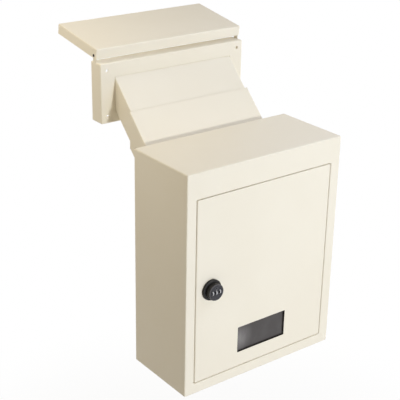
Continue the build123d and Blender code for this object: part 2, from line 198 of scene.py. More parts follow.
@dataclass
class Graph:
    """Adds nodes to a shader tree or a geometry tree.

    Attributes:
        tree: the tree that gets the nodes.
    """

    tree: bpy.types.NodeTree

    def node(
        self,
        kind: str,
        settings: dict[str, object] | None = None,
        inputs: dict[str | int, object] | None = None,
        output: str | None = None,
    ) -> Socket:
        """Adds one node.

        Args:
            kind: the node's type.
            settings: properties of the node, which are set first.
            inputs: values or sockets by the input's name, identifier or number.
            output: the output to return, where it isn't the first one.

        Returns:
            The chosen output.
        """
        made = self.tree.nodes.new(kind)
        for name, value in (settings or {}).items():
            setattr(made, name, value)
        for key, value in (inputs or {}).items():
            self.feed(made, key, value)
        enabled = [socket for socket in made.outputs if socket.enabled]
        chosen = made.outputs[output] if output else enabled[0]
        return Socket(self, chosen)

    def feed(self, node: bpy.types.Node, key: str | int, value: object) -> None:
        """Sets or links one input.

        Args:
            node: the node to feed.
            key: the input's number, name or identifier.
            value: a socket, a list of sockets for a joining input, or a plain value.
        """
        if isinstance(key, int):
            target = node.inputs[key]
        else:
            target = next(s for s in node.inputs if s.enabled and key in (s.name, s.identifier))
        for source in value if isinstance(value, list) else [value]:
            if isinstance(source, Socket):
                self.tree.links.new(source.socket, target)
            else:
                target.default_value = source


@dataclass(frozen=True)
class Coat:
    """A finish, and the slot of the record that it stands for."""

    material: bpy.types.Material
    slot: Slot


@dataclass(frozen=True)
class Pattern:
    """A smooth random pattern.

    Attributes:
        size: how wide one blotch is, in millimetres.
        detail: how many finer layers it has.
        edges: the values between which it rises from 0 to 1, where it has clear patches.
        spread: how many times closer the blotches stand along each axis.
    """

    size: float
    detail: float = 2.0
    edges: tuple[float, float] | None = None
    spread: Point = (1.0, 1.0, 1.0)


class Surface(Graph):
    """A material under construction, with one Principled shader."""

    def __init__(self, name: str) -> None:
        """Starts an empty material of that name."""
        self.material = bpy.data.materials.new(name)
        self.material.use_nodes = True
        self.material.node_tree.nodes.clear()
        super().__init__(self.material.node_tree)
        self.place = self.node("ShaderNodeTexCoord", output="Object")

    def noise(self, pattern: Pattern) -> Socket:
        """Returns the values of a random pattern over the surface."""
        stretched = self.node("ShaderNodeMapping", None, {"Vector": self.place, "Scale": pattern.spread})
        inputs = {"Vector": stretched, "Scale": 1.0 / (pattern.size * MM), "Detail": pattern.detail}
        value = self.node("ShaderNodeTexNoise", None, inputs)
        return value.between(*pattern.edges) if pattern.edges else value

    def away(self, spot: Point) -> Socket:
        """Returns how far each point lies from a spot, in metres."""
        inputs = {0: self.place, 1: spot}
        return self.node("ShaderNodeVectorMath", {"operation": "DISTANCE"}, inputs, "Value")

    def blend(self, amount: Socket, low: Colour | Socket, high: Colour) -> Socket:
        """Returns a colour between two others.

        Args:
            amount: 0 for the first colour and 1 for the second.
            low: the first colour, plain or from a node.
            high: the second colour.
        """
        first = low if isinstance(low, Socket) else (*low, 1.0)
        inputs = {"Factor_Float": amount, "A_Color": first, "B_Color": (*high, 1.0)}
        return self.node("ShaderNodeMix", {"data_type": "RGBA"}, inputs)

    def bump(self, height: Socket, depth: float, under: Socket | None = None) -> Socket:
        """Returns a normal that shows the height as relief.

        Args:
            height: the relief, from 0 to 1.
            depth: how deep the relief is, in millimetres.
            under: a normal that this relief is added to.
        """
        inputs: dict[str | int, object] = {"Height": height, "Distance": depth * MM}
        if under:
            inputs["Normal"] = under
        return self.node("ShaderNodeBump", None, inputs)

    def finish(self, slot: Slot, **inputs: object) -> Coat:
        """Closes the material with its Principled shader.

        Args:
            slot: the slot of the record that it stands for.
            inputs: the shader's inputs by name, with spaces written as underscores.

        Returns:
            The finish.
        """
        named = {name.replace("_", " "): value for name, value in inputs.items()}
        self.node_end(self.node("ShaderNodeBsdfPrincipled", None, named))
        return Coat(self.material, slot)

    def node_end(self, shader: Socket) -> None:
        """Links a shader to the material's output."""
        end = self.tree.nodes.new("ShaderNodeOutputMaterial")
        self.feed(end, "Surface", shader)


@dataclass(frozen=True)
class PowderCoat:
    """Cream powder coat on sheet steel, with a fine orange-peel skin and slow drifts of tone."""

    light: Colour = (0.845, 0.790, 0.665)
    shade: Colour = (0.828, 0.770, 0.642)
    drift: Pattern = Pattern(180.0, 3.0, (0.36, 0.64))
    mottle: Pattern = Pattern(7.0)
    smudge: Pattern = Pattern(42.0, 4.0, (0.45, 0.7))
    ripple: Pattern = Pattern(95.0, 1.0)
    peel: Pattern = Pattern(1.1)
    mottle_share: float = 0.2
    ripple_depth: float = 0.35
    peel_depth: float = 0.012
    gloss: float = 0.40
    smudge_dulls: float = 0.07
    mottle_dulls: float = 0.05
    bend: float = 1.5

    def make(self) -> Coat:
        """Returns the finish."""
        paint = Surface("cream_powder_coat")
        drift, mottle, smudge = paint.noise(self.drift), paint.noise(self.mottle), paint.noise(self.smudge)
        tone = drift * (1.0 - self.mottle_share) + mottle * self.mottle_share
        ripple = paint.bump(paint.noise(self.ripple), self.ripple_depth)
        return paint.finish(
            Slot.IVORY,
            Base_Color=paint.blend(tone, self.shade, self.light),
            Roughness=smudge * self.smudge_dulls + mottle * self.mottle_dulls + self.gloss,
            Normal=paint.bump(paint.noise(self.peel), self.peel_depth, ripple),
            IOR=self.bend,
        )


@dataclass(frozen=True)
class BlackCasting:
    """Black satin die casting, with a fine cast grain and paler handling marks."""

    name: str = "black_casting"
    dark: Colour = (0.0095, 0.0081, 0.0066)
    rubbed: Colour = (0.030, 0.027, 0.024)
    marks: Pattern = Pattern(5.0, 5.0, (0.5, 0.72))
    grain: Pattern = Pattern(0.45)
    grain_depth: float = 0.010
    gloss: float = 0.36
    marks_dull: float = 0.10
    grain_dulls: float = 0.08
    bend: float = 1.33

    def make(self) -> Coat:
        """Returns the finish."""
        metal = Surface(self.name)
        marks, grain = metal.noise(self.marks), metal.noise(self.grain)
        return metal.finish(
            Slot.BLACK_METAL,
            Base_Color=self.tone(metal, marks),
            Roughness=marks * self.marks_dull + grain * self.grain_dulls + self.gloss,
            Normal=metal.bump(grain, self.grain_depth),
            IOR=self.bend,
        )

    def tone(self, metal: Surface, marks: Socket) -> Socket:
        """Returns the colour, dark with paler marks."""
        return metal.blend(marks, self.dark, self.rubbed)


@dataclass(frozen=True)
class RubbedFace(BlackCasting):
    """The satin face of the knob, painted paler than the casting to stand in for its sheen, with a painted
    highlight round its rim.

    Attributes:
        hub: the middle of the face, in metres.
        rim: the colour of the painted highlight round the rim.
        worn: distances from the hub between which the painted highlight sets in, in metres.
        least: the least strength of the painted highlight on the rim, as a share.
    """

    name: str = "black_face_painted_sheen"
    # Painted sheen: the face's colour is kept paler than the black casting to stand in for the light it
    # reflects.
    dark: Colour = (0.036, 0.0345, 0.038)
    rubbed: Colour = (0.066, 0.063, 0.069)
    gloss: float = 0.5
    hub: Point = (0.0, 0.0, 0.0)
    rim: Colour = (0.085, 0.081, 0.084)
    worn: tuple[float, float] = (0.0128, 0.0142)
    patches: Pattern = Pattern(2.2, 3.0, (0.3, 0.6))
    least: float = 0.5

    def tone(self, metal: Surface, marks: Socket) -> Socket:
        """Returns the colour, with the rim's painted highlight over the marks.

        Args:
            metal: the surface that gets the nodes.
            marks: how far each point is rubbed by handling.

        Returns:
            The blended colour.
        """
        # Painted highlight: a pale band round the rim, broken in patches, stands in for light caught on the
        # face's edge.
        highlight_strength = metal.noise(self.patches) * (1.0 - self.least) + self.least
        ring = metal.away(self.hub).between(*self.worn)
        return metal.blend(ring * highlight_strength, super().tone(metal, marks), self.rim)


@dataclass(frozen=True)
class Moulding:
    """Moulded plastic with a faint flow pattern and a soft skin."""

    name: str
    slot: Slot
    dark: Colour
    light: Colour
    gloss: float
    bend: float = 1.49
    flow: Pattern = Pattern(3.0, 3.0, (0.35, 0.65), (1.0, 1.0, 2.5))
    skin: Pattern = Pattern(0.35)
    skin_depth: float = 0.006
    flow_dulls: float = 0.06
    skin_dulls: float = 0.05

    def make(self) -> Coat:
        """Returns the finish."""
        plastic = Surface(self.name)
        flow, skin = plastic.noise(self.flow), plastic.noise(self.skin)
        return plastic.finish(
            self.slot,
            Base_Color=plastic.blend(flow, self.dark, self.light),
            Roughness=flow * self.flow_dulls + skin * self.skin_dulls + self.gloss,
            Normal=plastic.bump(skin, self.skin_depth),
            IOR=self.bend,
        )


@dataclass(frozen=True)
class ZincPlate:
    """Bright zinc plate with a faint yellow cast in patches and fine drawn lines."""

    bright: Colour = (0.66, 0.66, 0.65)
    passivated: Colour = (0.60, 0.58, 0.50)
    patches: Pattern = Pattern(6.0, 4.0, (0.42, 0.66))
    lines: Pattern = Pattern(1.6, spread=(1.0, 1.0, 9.0))
    line_depth: float = 0.008
    gloss: float = 0.26
    patches_dull: float = 0.12
    lines_dull: float = 0.08

    def make(self) -> Coat:
        """Returns the finish."""
        plate = Surface("zinc_plate")
        patches, lines = plate.noise(self.patches), plate.noise(self.lines)
        return plate.finish(
            Slot.ZINC,
            Base_Color=plate.blend(patches, self.bright, self.passivated),
            Metallic=1.0,
            Roughness=patches * self.patches_dull + lines * self.lines_dull + self.gloss,
            Normal=plate.bump(lines, self.line_depth),
        )


@dataclass(frozen=True)
class SmokedAcrylic:
    """Smoked acrylic sheet with wiping hairlines, and a painted reflection that makes its lower left paler.

    Attributes:
        clean: the wiped sheet.
        hazed: the sheet under a light haze.
        dusty: the sheet under the painted reflection.
        spot: the middle of the painted reflection, in metres.
        reach: how far the painted reflection spreads from there, in metres.
        streaked: how much of the painted reflection lies in streaks, and how much lies evenly.
        cover: how little of the light passes.
    """

    clean: Colour = (0.056, 0.049, 0.047)
    hazed: Colour = (0.068, 0.061, 0.059)
    dusty: Colour = (0.215, 0.202, 0.196)
    haze: Pattern = Pattern(28.0, 3.0, (0.4, 0.7))
    hairlines: Pattern = Pattern(0.9, 1.0, spread=(1.0, 1.0, 0.05))
    streaks: Pattern = Pattern(5.0, 3.0, (0.25, 0.75), (1.0, 1.0, 0.3))
    spot: Point = (-0.047, -0.1469, -0.0850)
    reach: float = 0.035
    streaked: tuple[float, float] = (0.3, 0.75)
    hairline_depth: float = 0.002
    cover: float = 0.93
    gloss: float = 0.10
    haze_dulls: float = 0.06
    hairlines_dull: float = 0.04
    bend: float = 1.49

    def make(self) -> Coat:
        """Returns the finish."""
        pane = Surface("smoked_acrylic")
        haze, hairlines, streaks = pane.noise(self.haze), pane.noise(self.hairlines), pane.noise(self.streaks)
        # Painted reflection: a pale streaked patch in the pane's lower left stands in for the light that the
        # pane reflects.
        reflection_falloff = (1.0 - pane.away(self.spot) / self.reach).between(0.0, 1.0)
        painted_reflection = reflection_falloff * (streaks * self.streaked[0] + self.streaked[1])
        return pane.finish(
            Slot.PANE,
            Base_Color=pane.blend(painted_reflection, pane.blend(haze, self.clean, self.hazed), self.dusty),
            Roughness=haze * self.haze_dulls + hairlines * self.hairlines_dull + self.gloss,
            Alpha=self.cover,
            Normal=pane.bump(hairlines, self.hairline_depth),
            IOR=self.bend,
        )


class Finishes:
    """Every finish of the object, made once and shared."""

    def __init__(self) -> None:
        """Makes the materials."""
        plastic = Slot.BLACK_PLASTIC
        self.ivory = PowderCoat().make()
        self.black = BlackCasting().make()
        self.face = RubbedFace(hub=tuple(middle("knob_cover"))).make()
        # Painted highlight: the ring round the button is pale grey to stand in for light caught on it.
        ring = BlackCasting("button_ring_painted_highlight", (0.115, 0.112, 0.118), (0.165, 0.161, 0.169), gloss=0.45)
        button = Moulding("black_moulding", plastic, (0.006, 0.006, 0.0065), (0.012, 0.012, 0.013), 0.34, 1.3)
        seal = Moulding("seal_rubber", plastic, (0.017, 0.0148, 0.0118), (0.026, 0.0232, 0.0192), 0.62, 1.28)
        wheel = Moulding("pale_moulding", Slot.WHEEL, (0.49, 0.486, 0.49), (0.58, 0.576, 0.58), 0.36)
        digit = Moulding("digit_paint", plastic, (0.10, 0.10, 0.105), (0.15, 0.15, 0.155), 0.45)
        nylon = Moulding("natural_nylon", Slot.NYLON, (0.74, 0.72, 0.64), (0.82, 0.80, 0.73), 0.42)
        self.ring, self.button, self.seal = ring.make(), button.make(), seal.make()
        self.wheel, self.digit, self.nylon = wheel.make(), digit.make(), nylon.make()
        self.pane = SmokedAcrylic().make()
        self.zinc = ZincPlate().make()


@dataclass(frozen=True)
class Turning:
    """A place and a direction that round pieces are turned about.

    Attributes:
        origin: the point of height 0 on the axis, in metres.
        direction: the way that heights grow.
    """

    origin: Vector
    direction: Vector

    def matrix(self) -> Matrix:
        """Returns the transform that takes local +Z to the direction."""
        turn = self.direction.to_track_quat("Z", "Y").to_matrix().to_4x4()
        return Matrix.Translation(self.origin) @ turn


def middle(node: str) -> Vector:
    """Returns the middle of a CAD node's box, in metres."""
    low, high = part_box(node)
    return (low + high) / 2


def shade(mesh: bpy.types.Mesh) -> None:
    """Shades a mesh smooth and keeps its sharp edges."""
    mesh.shade_smooth()
    mesh.set_sharp_from_angle(angle=SHARP)


def new_piece(name: str, work: bmesh.types.BMesh) -> bpy.types.Object:
    """Turns a working mesh into a linked object with smooth faces and sharp edges.

    Args:
        name: the object's name.
        work: the working mesh, which is freed.

    Returns:
        The object, at the origin.
    """
    mesh = bpy.data.meshes.new(name)
    work.to_mesh(mesh)
    work.free()
    shade(mesh)
    piece = bpy.data.objects.new(name, mesh)
    bpy.context.scene.collection.objects.link(piece)
    return piece


def skin(work: bmesh.types.BMesh, rings: list[list[bmesh.types.BMVert]]) -> None:
    """Spans faces from each ring of points to the next.

    Args:
        work: the mesh that holds the points.
        rings: the rings, each of one point or of as many as the others. The last is joined to the first
            unless that is one point.
    """
    segments = max(len(ring) for ring in rings)
    closed = rings + rings[:1] if len(rings[0]) > 1 else rings
    for lower, upper in zip(closed, closed[1:]):
        for step in range(segments):
            after = (step + 1) % segments
            pairs = ((lower, step), (lower, after), (upper, after), (upper, step))
            work.faces.new(list(dict.fromkeys(ring[place % len(ring)] for ring, place in pairs)))
    bmesh.ops.recalc_face_normals(work, faces=work.faces)


def turned(
    name: str,
    axis: Turning,
    profile: Sequence[Point],
    segments: int,
    wave: Callable[[float], float] | None = None,
) -> bpy.types.Object:
    """Turns a profile about an axis into a closed solid.

    Args:
        name: the object's name.
        axis: what it turns about.
        profile: radius and height of each point in millimetres, and 1 as a third value where the wave counts.
        segments: how many steps go round.
        wave: what is added to the radius at an angle, in millimetres.

    Returns:
        The object. A profile that starts and ends on the axis is a full solid, and any other is a ring.
    """
    work = bmesh.new()
    rings = []
    for radius, height, *follows in profile:
        ring = []
        for step in range(segments if radius else 1):
            angle = math.tau * step / segments
            reach = (radius + (wave(angle) if wave and follows else 0.0)) * MM
            ring.append(work.verts.new((reach * math.cos(angle), reach * math.sin(angle), height * MM)))
        rings.append(ring)
    skin(work, rings)
    work.transform(axis.matrix())
    return new_piece(name, work)


def straight(inner: float, outer: float, low: float, high: float) -> tuple[Point, ...]:
    """Returns the profile of a plain ring, or of a rod where the inner radius is 0."""
    return (inner, low), (outer, low), (outer, high), (inner, high)


def mirrored(*half: Point) -> tuple[Point, ...]:
    """Returns a profile that has these points below height 0 and their mirror images above it."""
    return (*half, *((radius, -height, *follows) for radius, height, *follows in reversed(half)))


def bake(piece: bpy.types.Object) -> bpy.types.Object:
    """Turns an object's modifiers into its plain mesh.

    Args:
        piece: the object to change.

    Returns:
        The same object.
    """
    graph = bpy.context.evaluated_depsgraph_get()
    mesh = bpy.data.meshes.new_from_object(piece.evaluated_get(graph), depsgraph=graph)
    piece.modifiers.clear()
    piece.data = mesh
    return piece


def soften(
    piece: bpy.types.Object, width: float, segments: int = 2, weighted: bool = False
) -> bpy.types.Object:
    """Rounds the sharp edges of a piece.

    Args:
        piece: the object to change.
        width: how wide the rounding is, in millimetres.
        segments: how many faces it has.
        weighted: whether each edge's bevel weight decides, and not its angle.

    Returns:
        The same object.
    """
    bevel = piece.modifiers.new("edges", "BEVEL")
    bevel.width = width * MM
    bevel.segments = segments
    bevel.limit_method = "WEIGHT" if weighted else "ANGLE"
    bevel.angle_limit = FOLD
    bevel.harden_normals = True
    return bake(piece)


def carve(piece: bpy.types.Object, tools: Iterable[bpy.types.Object]) -> None:
    """Cuts a piece with closed tool solids, which are deleted.

    Args:
        piece: the object to change.
        tools: the solids that cut.
    """
    for tool in tools:
        boolean = piece.modifiers.new("cut", "BOOLEAN")
        boolean.operation = "DIFFERENCE"
        boolean.solver = "EXACT"
        boolean.object = tool
        bake(piece)
        bpy.data.objects.remove(tool)
    shade(piece.data)


def block(low: Vector, high: Vector) -> bpy.types.Object:
    """Returns a plain tool solid between two corners, in metres."""
    work = bmesh.new()
    placed = Matrix.Translation((low + high) / 2) @ Matrix.Diagonal((*(high - low), 1.0))
    bmesh.ops.create_cube(work, size=1.0, matrix=placed)
    return new_piece("tool", work)


def joined_copy(
    name: str, node: str, weight: Callable[[Vector, bool], float] | None = None
) -> bpy.types.Object:
    """Copies a CAD node as one joined mesh without its flat inner edges.

    Args:
        name: the new object's name.
        node: the CAD node.
        weight: gives an edge's bevel weight from its direction and whether the fold stands out.

    Returns:
        The new object.
    """
    work = bmesh.new()
    work.from_mesh(bpy.data.objects[node].data)
    bmesh.ops.remove_doubles(work, verts=work.verts, dist=NEAR)
    bmesh.ops.dissolve_limit(work, angle_limit=FLAT, verts=work.verts, edges=work.edges)
    if weight:
        layer = work.edges.layers.float.new("bevel_weight_edge")
        for edge in work.edges:
            if len(edge.link_faces) == 2 and edge.calc_face_angle(0.0) > FOLD:
                along = (edge.verts[0].co - edge.verts[1].co).normalized()
                edge[layer] = weight(along, edge.is_convex)
    return new_piece(name, work)


def folded_tube(name: str, node: str) -> bpy.types.Object:
    """Rounds the folds of a sloping tube and breaks its cut edges.

    Args:
        name: the new piece's name.
        node: the CAD node of the tube.

    Returns:
        The new piece.
    """
    slope, parallel, cut_edge = Vector((0, 1, 1)).normalized(), 0.999, 0.1

    def weight(along: Vector, stands_out: bool) -> float:
        """Returns a fold's full weight, or a cut edge's small one."""
        if abs(along.dot(slope)) < parallel:
            return cut_edge
        return 1.0 if stands_out else (BEND - SHEET) / BEND

    return soften(joined_copy(name, node, weight), BEND, 4, weighted=True)


def paint(node: str, coat: Coat) -> None:
    """Gives a CAD node that stays its finish.

    Args:
        node: the CAD node.
        coat: its finish.
    """
    for slot in bpy.data.objects[node].material_slots:
        slot.material = coat.material
    log.info("%s keeps its CAD mesh", node)


def publish(piece: bpy.types.Object, coat: Coat, body: Body, *nodes: str) -> None:
    """Gives a new piece its finish, its body and the CAD nodes that it stands for.

    Args:
        piece: the finished mesh object.
        coat: its finish.
        body: the body that it rides on.
        nodes: CAD nodes that it replaces.
    """
    piece.data.materials.clear()
    piece.data.materials.append(coat.material)
    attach(piece, body.value)
    if nodes:
        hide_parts(*nodes)
    log.info("%s rides on %s, %d faces", piece.name, body.value, len(piece.data.polygons))


class Recipe(Graph):
    """A Geometry Nodes tree with named sizes, run on points or paths and baked to a mesh."""

    def __init__(self, name: str, **sizes: float) -> None:
        """Starts a tree.

        Args:
            name: the tree's name.
            sizes: its named inputs, in millimetres.
        """
        super().__init__(bpy.data.node_groups.new(name, "GeometryNodeTree"))
        interface = self.tree.interface
        for way in ("INPUT", "OUTPUT"):
            interface.new_socket(name="Geometry", in_out=way, socket_type="NodeSocketGeometry")
        self.values: dict[str, float] = {}
        for title, size in sizes.items():
            made = interface.new_socket(name=title, in_out="INPUT", socket_type="NodeSocketFloat")
            self.values[made.identifier] = size * MM
        self.start = self.tree.nodes.new("NodeGroupInput")

    def given(self, name: str) -> Socket:
        """Returns one of the tree's inputs."""
        return Socket(self, self.start.outputs[name])

    def rod(self, around: int, radius: Socket, length: Socket, steps: int = 1) -> Socket:
        """Returns a closed rod along Z, with its middle at the origin.

        Args:
            around: how many sides it has.
            radius: its radius.
            length: its length.
            steps: how many steps it has along its length.
        """
        inputs = {"Vertices": around, "Side Segments": steps, "Radius": radius, "Depth": length}
        return self.node("GeometryNodeMeshCylinder", {"fill_type": "NGON"}, inputs)

    def boolean(self, operation: str, inputs: dict[str | int, object]) -> Socket:
        """Returns the exact boolean result of solids."""
        return self.node("GeometryNodeMeshBoolean", {"operation": operation, "solver": "EXACT"}, inputs)

    def pierced(self, shape: Socket, around: int, radius: Socket, length: Socket) -> Socket:
        """Returns a shape with a round hole along Z.

        Args:
            shape: what gets the hole.
            around: how many sides the hole has.
            radius: its radius.
            length: how long the shape is along Z.
        """
        hole = self.rod(around, radius, length * THROUGH)
        return self.boolean("DIFFERENCE", {"Mesh 1": shape, "Mesh 2": hole})

    def lifted(self, shape: Socket, height: Socket) -> Socket:
        """Returns a shape moved along Z."""
        lift = self.node("ShaderNodeCombineXYZ", None, {"Z": height})
        return self.node("GeometryNodeTransform", None, {"Geometry": shape, "Translation": lift})

    def spread(self, shape: Socket) -> Socket:
        """Returns a copy of a shape on each point of the base, turned to face the room."""
        inputs = {"Points": self.given("Geometry"), "Instance": shape, "Rotation": (math.pi / 2, 0.0, 0.0)}
        return self.node("GeometryNodeInstanceOnPoints", None, inputs)

    def run(self, name: str, shape: Socket, base: bpy.types.Object, coat: Coat) -> bpy.types.Object:
        """Ends the tree with real geometry in one finish, runs it on an object and bakes it.

        Args:
            name: the piece's name.
            shape: what the tree has made.
            base: the points or paths to work on, which becomes the piece.
            coat: its finish.

        Returns:
            The piece.
        """
        real = self.node("GeometryNodeRealizeInstances", None, {"Geometry": shape})
        dressed = self.node("GeometryNodeSetMaterial", None, {"Geometry": real, "Material": coat.material})
        self.feed(self.tree.nodes.new("NodeGroupOutput"), "Geometry", dressed)
        base.name = name
        modifier = base.modifiers.new("recipe", "NODES")
        modifier.node_group = self.tree
        for key, value in self.values.items():
            modifier[key] = value
        bake(base)
        base.data.name = name
        shade(base.data)
        return base


def marks(points: Iterable[Sequence[float]]) -> bpy.types.Object:
    """Returns loose points, in metres, as the base for a recipe."""
    work = bmesh.new()
    for point in points:
        work.verts.new(point)
    return new_piece("marks", work)


class Fixing:
    """A piece that stands on points, made by Geometry Nodes from its named sizes.

    Attributes:
        title: the name of its tree.
        sizes: the names of its sizes, which are the tree's inputs.
    """

    title: ClassVar[str]
    sizes: ClassVar[tuple[str, ...]]

    def shape(self, tree: Recipe, *sizes: Socket) -> Socket:
        """Returns one of them along Z, from the tree's inputs for its sizes."""
        raise NotImplementedError

    def make(self, name: str, points: Iterable[Sequence[float]], coat: Coat) -> bpy.types.Object:
        """Stands one on each point, with Z turned to face the room.

        Args:
            name: the piece's name.
            points: where they stand, in metres.
            coat: their finish.

        Returns:
            All of them as one piece.
        """
        tree = Recipe(self.title, **{size: getattr(self, size) for size in self.sizes})
        shape = self.shape(tree, *map(tree.given, self.sizes))
        return tree.run(name, tree.spread(shape), marks(points), coat)


@dataclass(frozen=True)
class Thread(Fixing):
    """A screw thread on a rod, with an optional bore and two flats, made by Geometry Nodes.

    Attributes:
        radius: outside radius.
        length: length of the rod.
        pitch: rise of one turn.
        bore: radius of the hole through it, or 0.
        flat: half the width over its flats, or 0.
        around: how many sides the rod has.
        steps_per_turn: how many steps one turn of the thread has.
        cut: twice the depth of the thread, as a share of its pitch.
    """

    title = "thread"
    sizes = ("radius", "length", "pitch", "bore", "flat")

    radius: float
    length: float
    pitch: float
    bore: float = 0.0
    flat: float = 0.0
    around: int = STEPS.stud
    steps_per_turn: int = 6
    cut: float = 0.9

    def shape(self, tree: Recipe, *sizes: Socket) -> Socket:
        """Returns a threaded rod that grows away from the room."""
        radius, length, pitch, bore, flat = sizes
        blank = tree.rod(self.around, radius, length, round(self.length / self.pitch * self.steps_per_turn))
        across = tree.node("ShaderNodeSeparateXYZ", None, {"Vector": tree.node("GeometryNodeInputPosition")})
        up, along = across.other("Y"), across.other("Z")
        turn = up.maths("ARCTAN2", across) / math.tau
        rise = (along / pitch - turn).maths("PINGPONG", 0.5)
        runout = ((length * 0.5 - along.maths("ABSOLUTE")) / pitch).maths("MINIMUM", 1.0)
        depth = pitch * self.cut
        share = 1.0 - (rise * depth * runout + (1.0 - runout) * depth * 0.5) / radius
        high = up * share
        if self.flat:
            high = high.maths("MINIMUM", flat).maths("MAXIMUM", flat * -1.0)
        place = tree.node("ShaderNodeCombineXYZ", None, {"X": across * share, "Y": high, "Z": along})
        made = tree.node("GeometryNodeSetPosition", None, {"Geometry": blank, "Position": place})
        if self.bore:
            made = tree.pierced(made, self.around, bore, length)
        return tree.lifted(made, length * -0.5)


@dataclass(frozen=True)
class HexNut(Fixing):
    """A hexagon nut with chamfered corners and a bore, made by Geometry Nodes.

    Attributes:
        corner: radius over its corners.
        thickness: its thickness.
        bore: radius of its hole.
        narrow: the small end of the cone that cuts the chamfer, as a share of the corner radius.
        wide: the large end of that cone, as a share of the corner radius.
    """

    title = "hex_nut"
    sizes = ("corner", "thickness", "bore")

    corner: float
    thickness: float
    bore: float
    narrow: float = 0.93
    wide: float = 1.6

    def shape(self, tree: Recipe, *sizes: Socket) -> Socket:
        """Returns a nut that lies behind its point, away from the room."""
        corner, thickness, bore = sizes
        nut = tree.rod(6, corner, thickness)
        for top, bottom in ((self.narrow, self.wide), (self.wide, self.narrow)):
            ends = {"Radius Top": corner * top, "Radius Bottom": corner * bottom}
            inputs = {"Vertices": STEPS.chamfer, "Depth": thickness, **ends}
            cone = tree.node("GeometryNodeMeshCone", {"fill_type": "NGON"}, inputs)
            nut = tree.boolean("INTERSECT", {"Mesh 2": [nut, tree.lifted(cone, thickness * -0.5)]})
        return tree.lifted(tree.pierced(nut, STEPS.bore, bore, thickness), thickness * -0.5)


@dataclass(frozen=True)
class DigitRing(Fixing):
    """Raised digits, 0 to 9, on the flats round a wheel, made by Geometry Nodes.

    Attributes:
        flat: how far the flats lie from the wheel's axis.
        height: height of a digit.
        relief: how far it stands out.
    """

    title = "digit_ring"
    sizes = ("flat", "height", "relief")

    flat: float
    height: float
    relief: float

    def shape(self, tree: Recipe, *sizes: Socket) -> Socket:
        """Returns the ten digits, about the X axis."""
        flat, height, relief = sizes
        settings = {"font": bpy.data.fonts.load("<builtin>"), "align_x": "CENTER", "align_y": "MIDDLE"}
        raised, level = {"Offset Scale": relief * 2.0, "Individual": False}, flat - relief
        digits = []
        for digit in range(DIGITS):
            text = tree.node("GeometryNodeStringToCurves", settings, {"String": str(digit), "Size": height})
            face = tree.node("GeometryNodeFillCurve", {"mode": "TRIANGLES"}, {"Curve": text})
            real = tree.node("GeometryNodeRealizeInstances", None, {"Geometry": face})
            solid = tree.node("GeometryNodeExtrudeMesh", {"mode": "FACES"}, {"Mesh": real, **raised})
            under = tree.node("GeometryNodeFlipFaces", None, {"Mesh": real})
            closed = tree.node("GeometryNodeJoinGeometry", None, {"Geometry": [solid, under]})
            turn = (-digit * math.tau / DIGITS, 0.0, 0.0)
            spin = {"Geometry": tree.lifted(closed, level), "Rotation": turn}
            digits.append(tree.node("GeometryNodeTransform", None, spin))
        around = tree.node("GeometryNodeJoinGeometry", None, {"Geometry": digits})
        return tree.node("GeometryNodeMergeByDistance", None, {"Geometry": around, "Distance": NEAR})


@dataclass(frozen=True)
class WeldBead:
    """A ground weld bead that follows paths, made by Geometry Nodes.

    Attributes:
        radius: the bead's own radius.
        ripple: length of one ripple.
        swell: how far the ripples change the radius, as a share of it.
        uneven: the least and the greatest share of the radius along the bead.
        seed: which row of random values the unevenness follows.
        steps_per_ripple: how many steps one ripple has.
    """

    radius: float = 0.7
    ripple: float = 1.6
    swell: float = 0.09
    uneven: tuple[float, float] = (0.9, 1.06)
    seed: int = 4
    steps_per_ripple: float = 4.0

    def lay(self, name: str, paths: Iterable[Sequence[Point]], closed: bool, coat: Coat) -> bpy.types.Object:
        """Lays the bead along paths and joins it to one piece.

        Args:
            name: the piece's name.
            paths: the points of each path, in millimetres.
            closed: whether each path returns to its start.
            coat: the bead's finish.

        Returns:
            The piece.
        """
        work = bmesh.new()
        for path in paths:
            made = [work.verts.new(Vector(point) * MM) for point in path]
            for first, second in zip(made, made[1:] + (made[:1] if closed else [])):
                work.edges.new((first, second))
        tree = Recipe("weld_bead", radius=self.radius, ripple=self.ripple)
        radius, ripple = tree.given("radius"), tree.given("ripple")
        line = tree.node("GeometryNodeMeshToCurve", None, {"Mesh": tree.given("Geometry")})
        step = {"Curve": line, "Length": ripple / self.steps_per_ripple}
        even = tree.node("GeometryNodeResampleCurve", {"mode": "LENGTH"}, step)
        length = tree.node("GeometryNodeSplineParameter", output="Length")
        wave = (length / ripple * math.tau).maths("SINE")
        spread = {"Min": self.uneven[0], "Max": self.uneven[1], "Seed": self.seed}
        uneven = tree.node("FunctionNodeRandomValue", {"data_type": "FLOAT"}, spread)
        size = radius * (wave * self.swell + (1.0 - self.swell)) * uneven
        circle = {"Resolution": STEPS.bead, "Radius": 1.0}
        ring = tree.node("GeometryNodeCurvePrimitiveCircle", {"mode": "RADIUS"}, circle)
        inputs = {"Curve": even, "Profile Curve": ring, "Scale": size, "Fill Caps": True}
        bead = tree.node("GeometryNodeCurveToMesh", None, inputs)
        return tree.run(name, bead, new_piece("paths", work), coat)


def round_corners(width: float, height: float, corner: float, steps: int = 5) -> list[tuple[float, float]]:
    """Returns the outline of a rectangle with round corners, centred on 0.

    Args:
        width: its width.
        height: its height.
        corner: the radius of its corners.
        steps: how many points each corner has, less one.
    """
    outline = []
    for quarter, (right, up) in enumerate(((1, 1), (-1, 1), (-1, -1), (1, -1))):
        for step in range(steps + 1):
            angle = math.pi / 2 * (quarter + step / steps)
            across = right * (width / 2 - corner) + corner * math.cos(angle)
            outline.append((across, up * (height / 2 - corner) + corner * math.sin(angle)))
    return outline


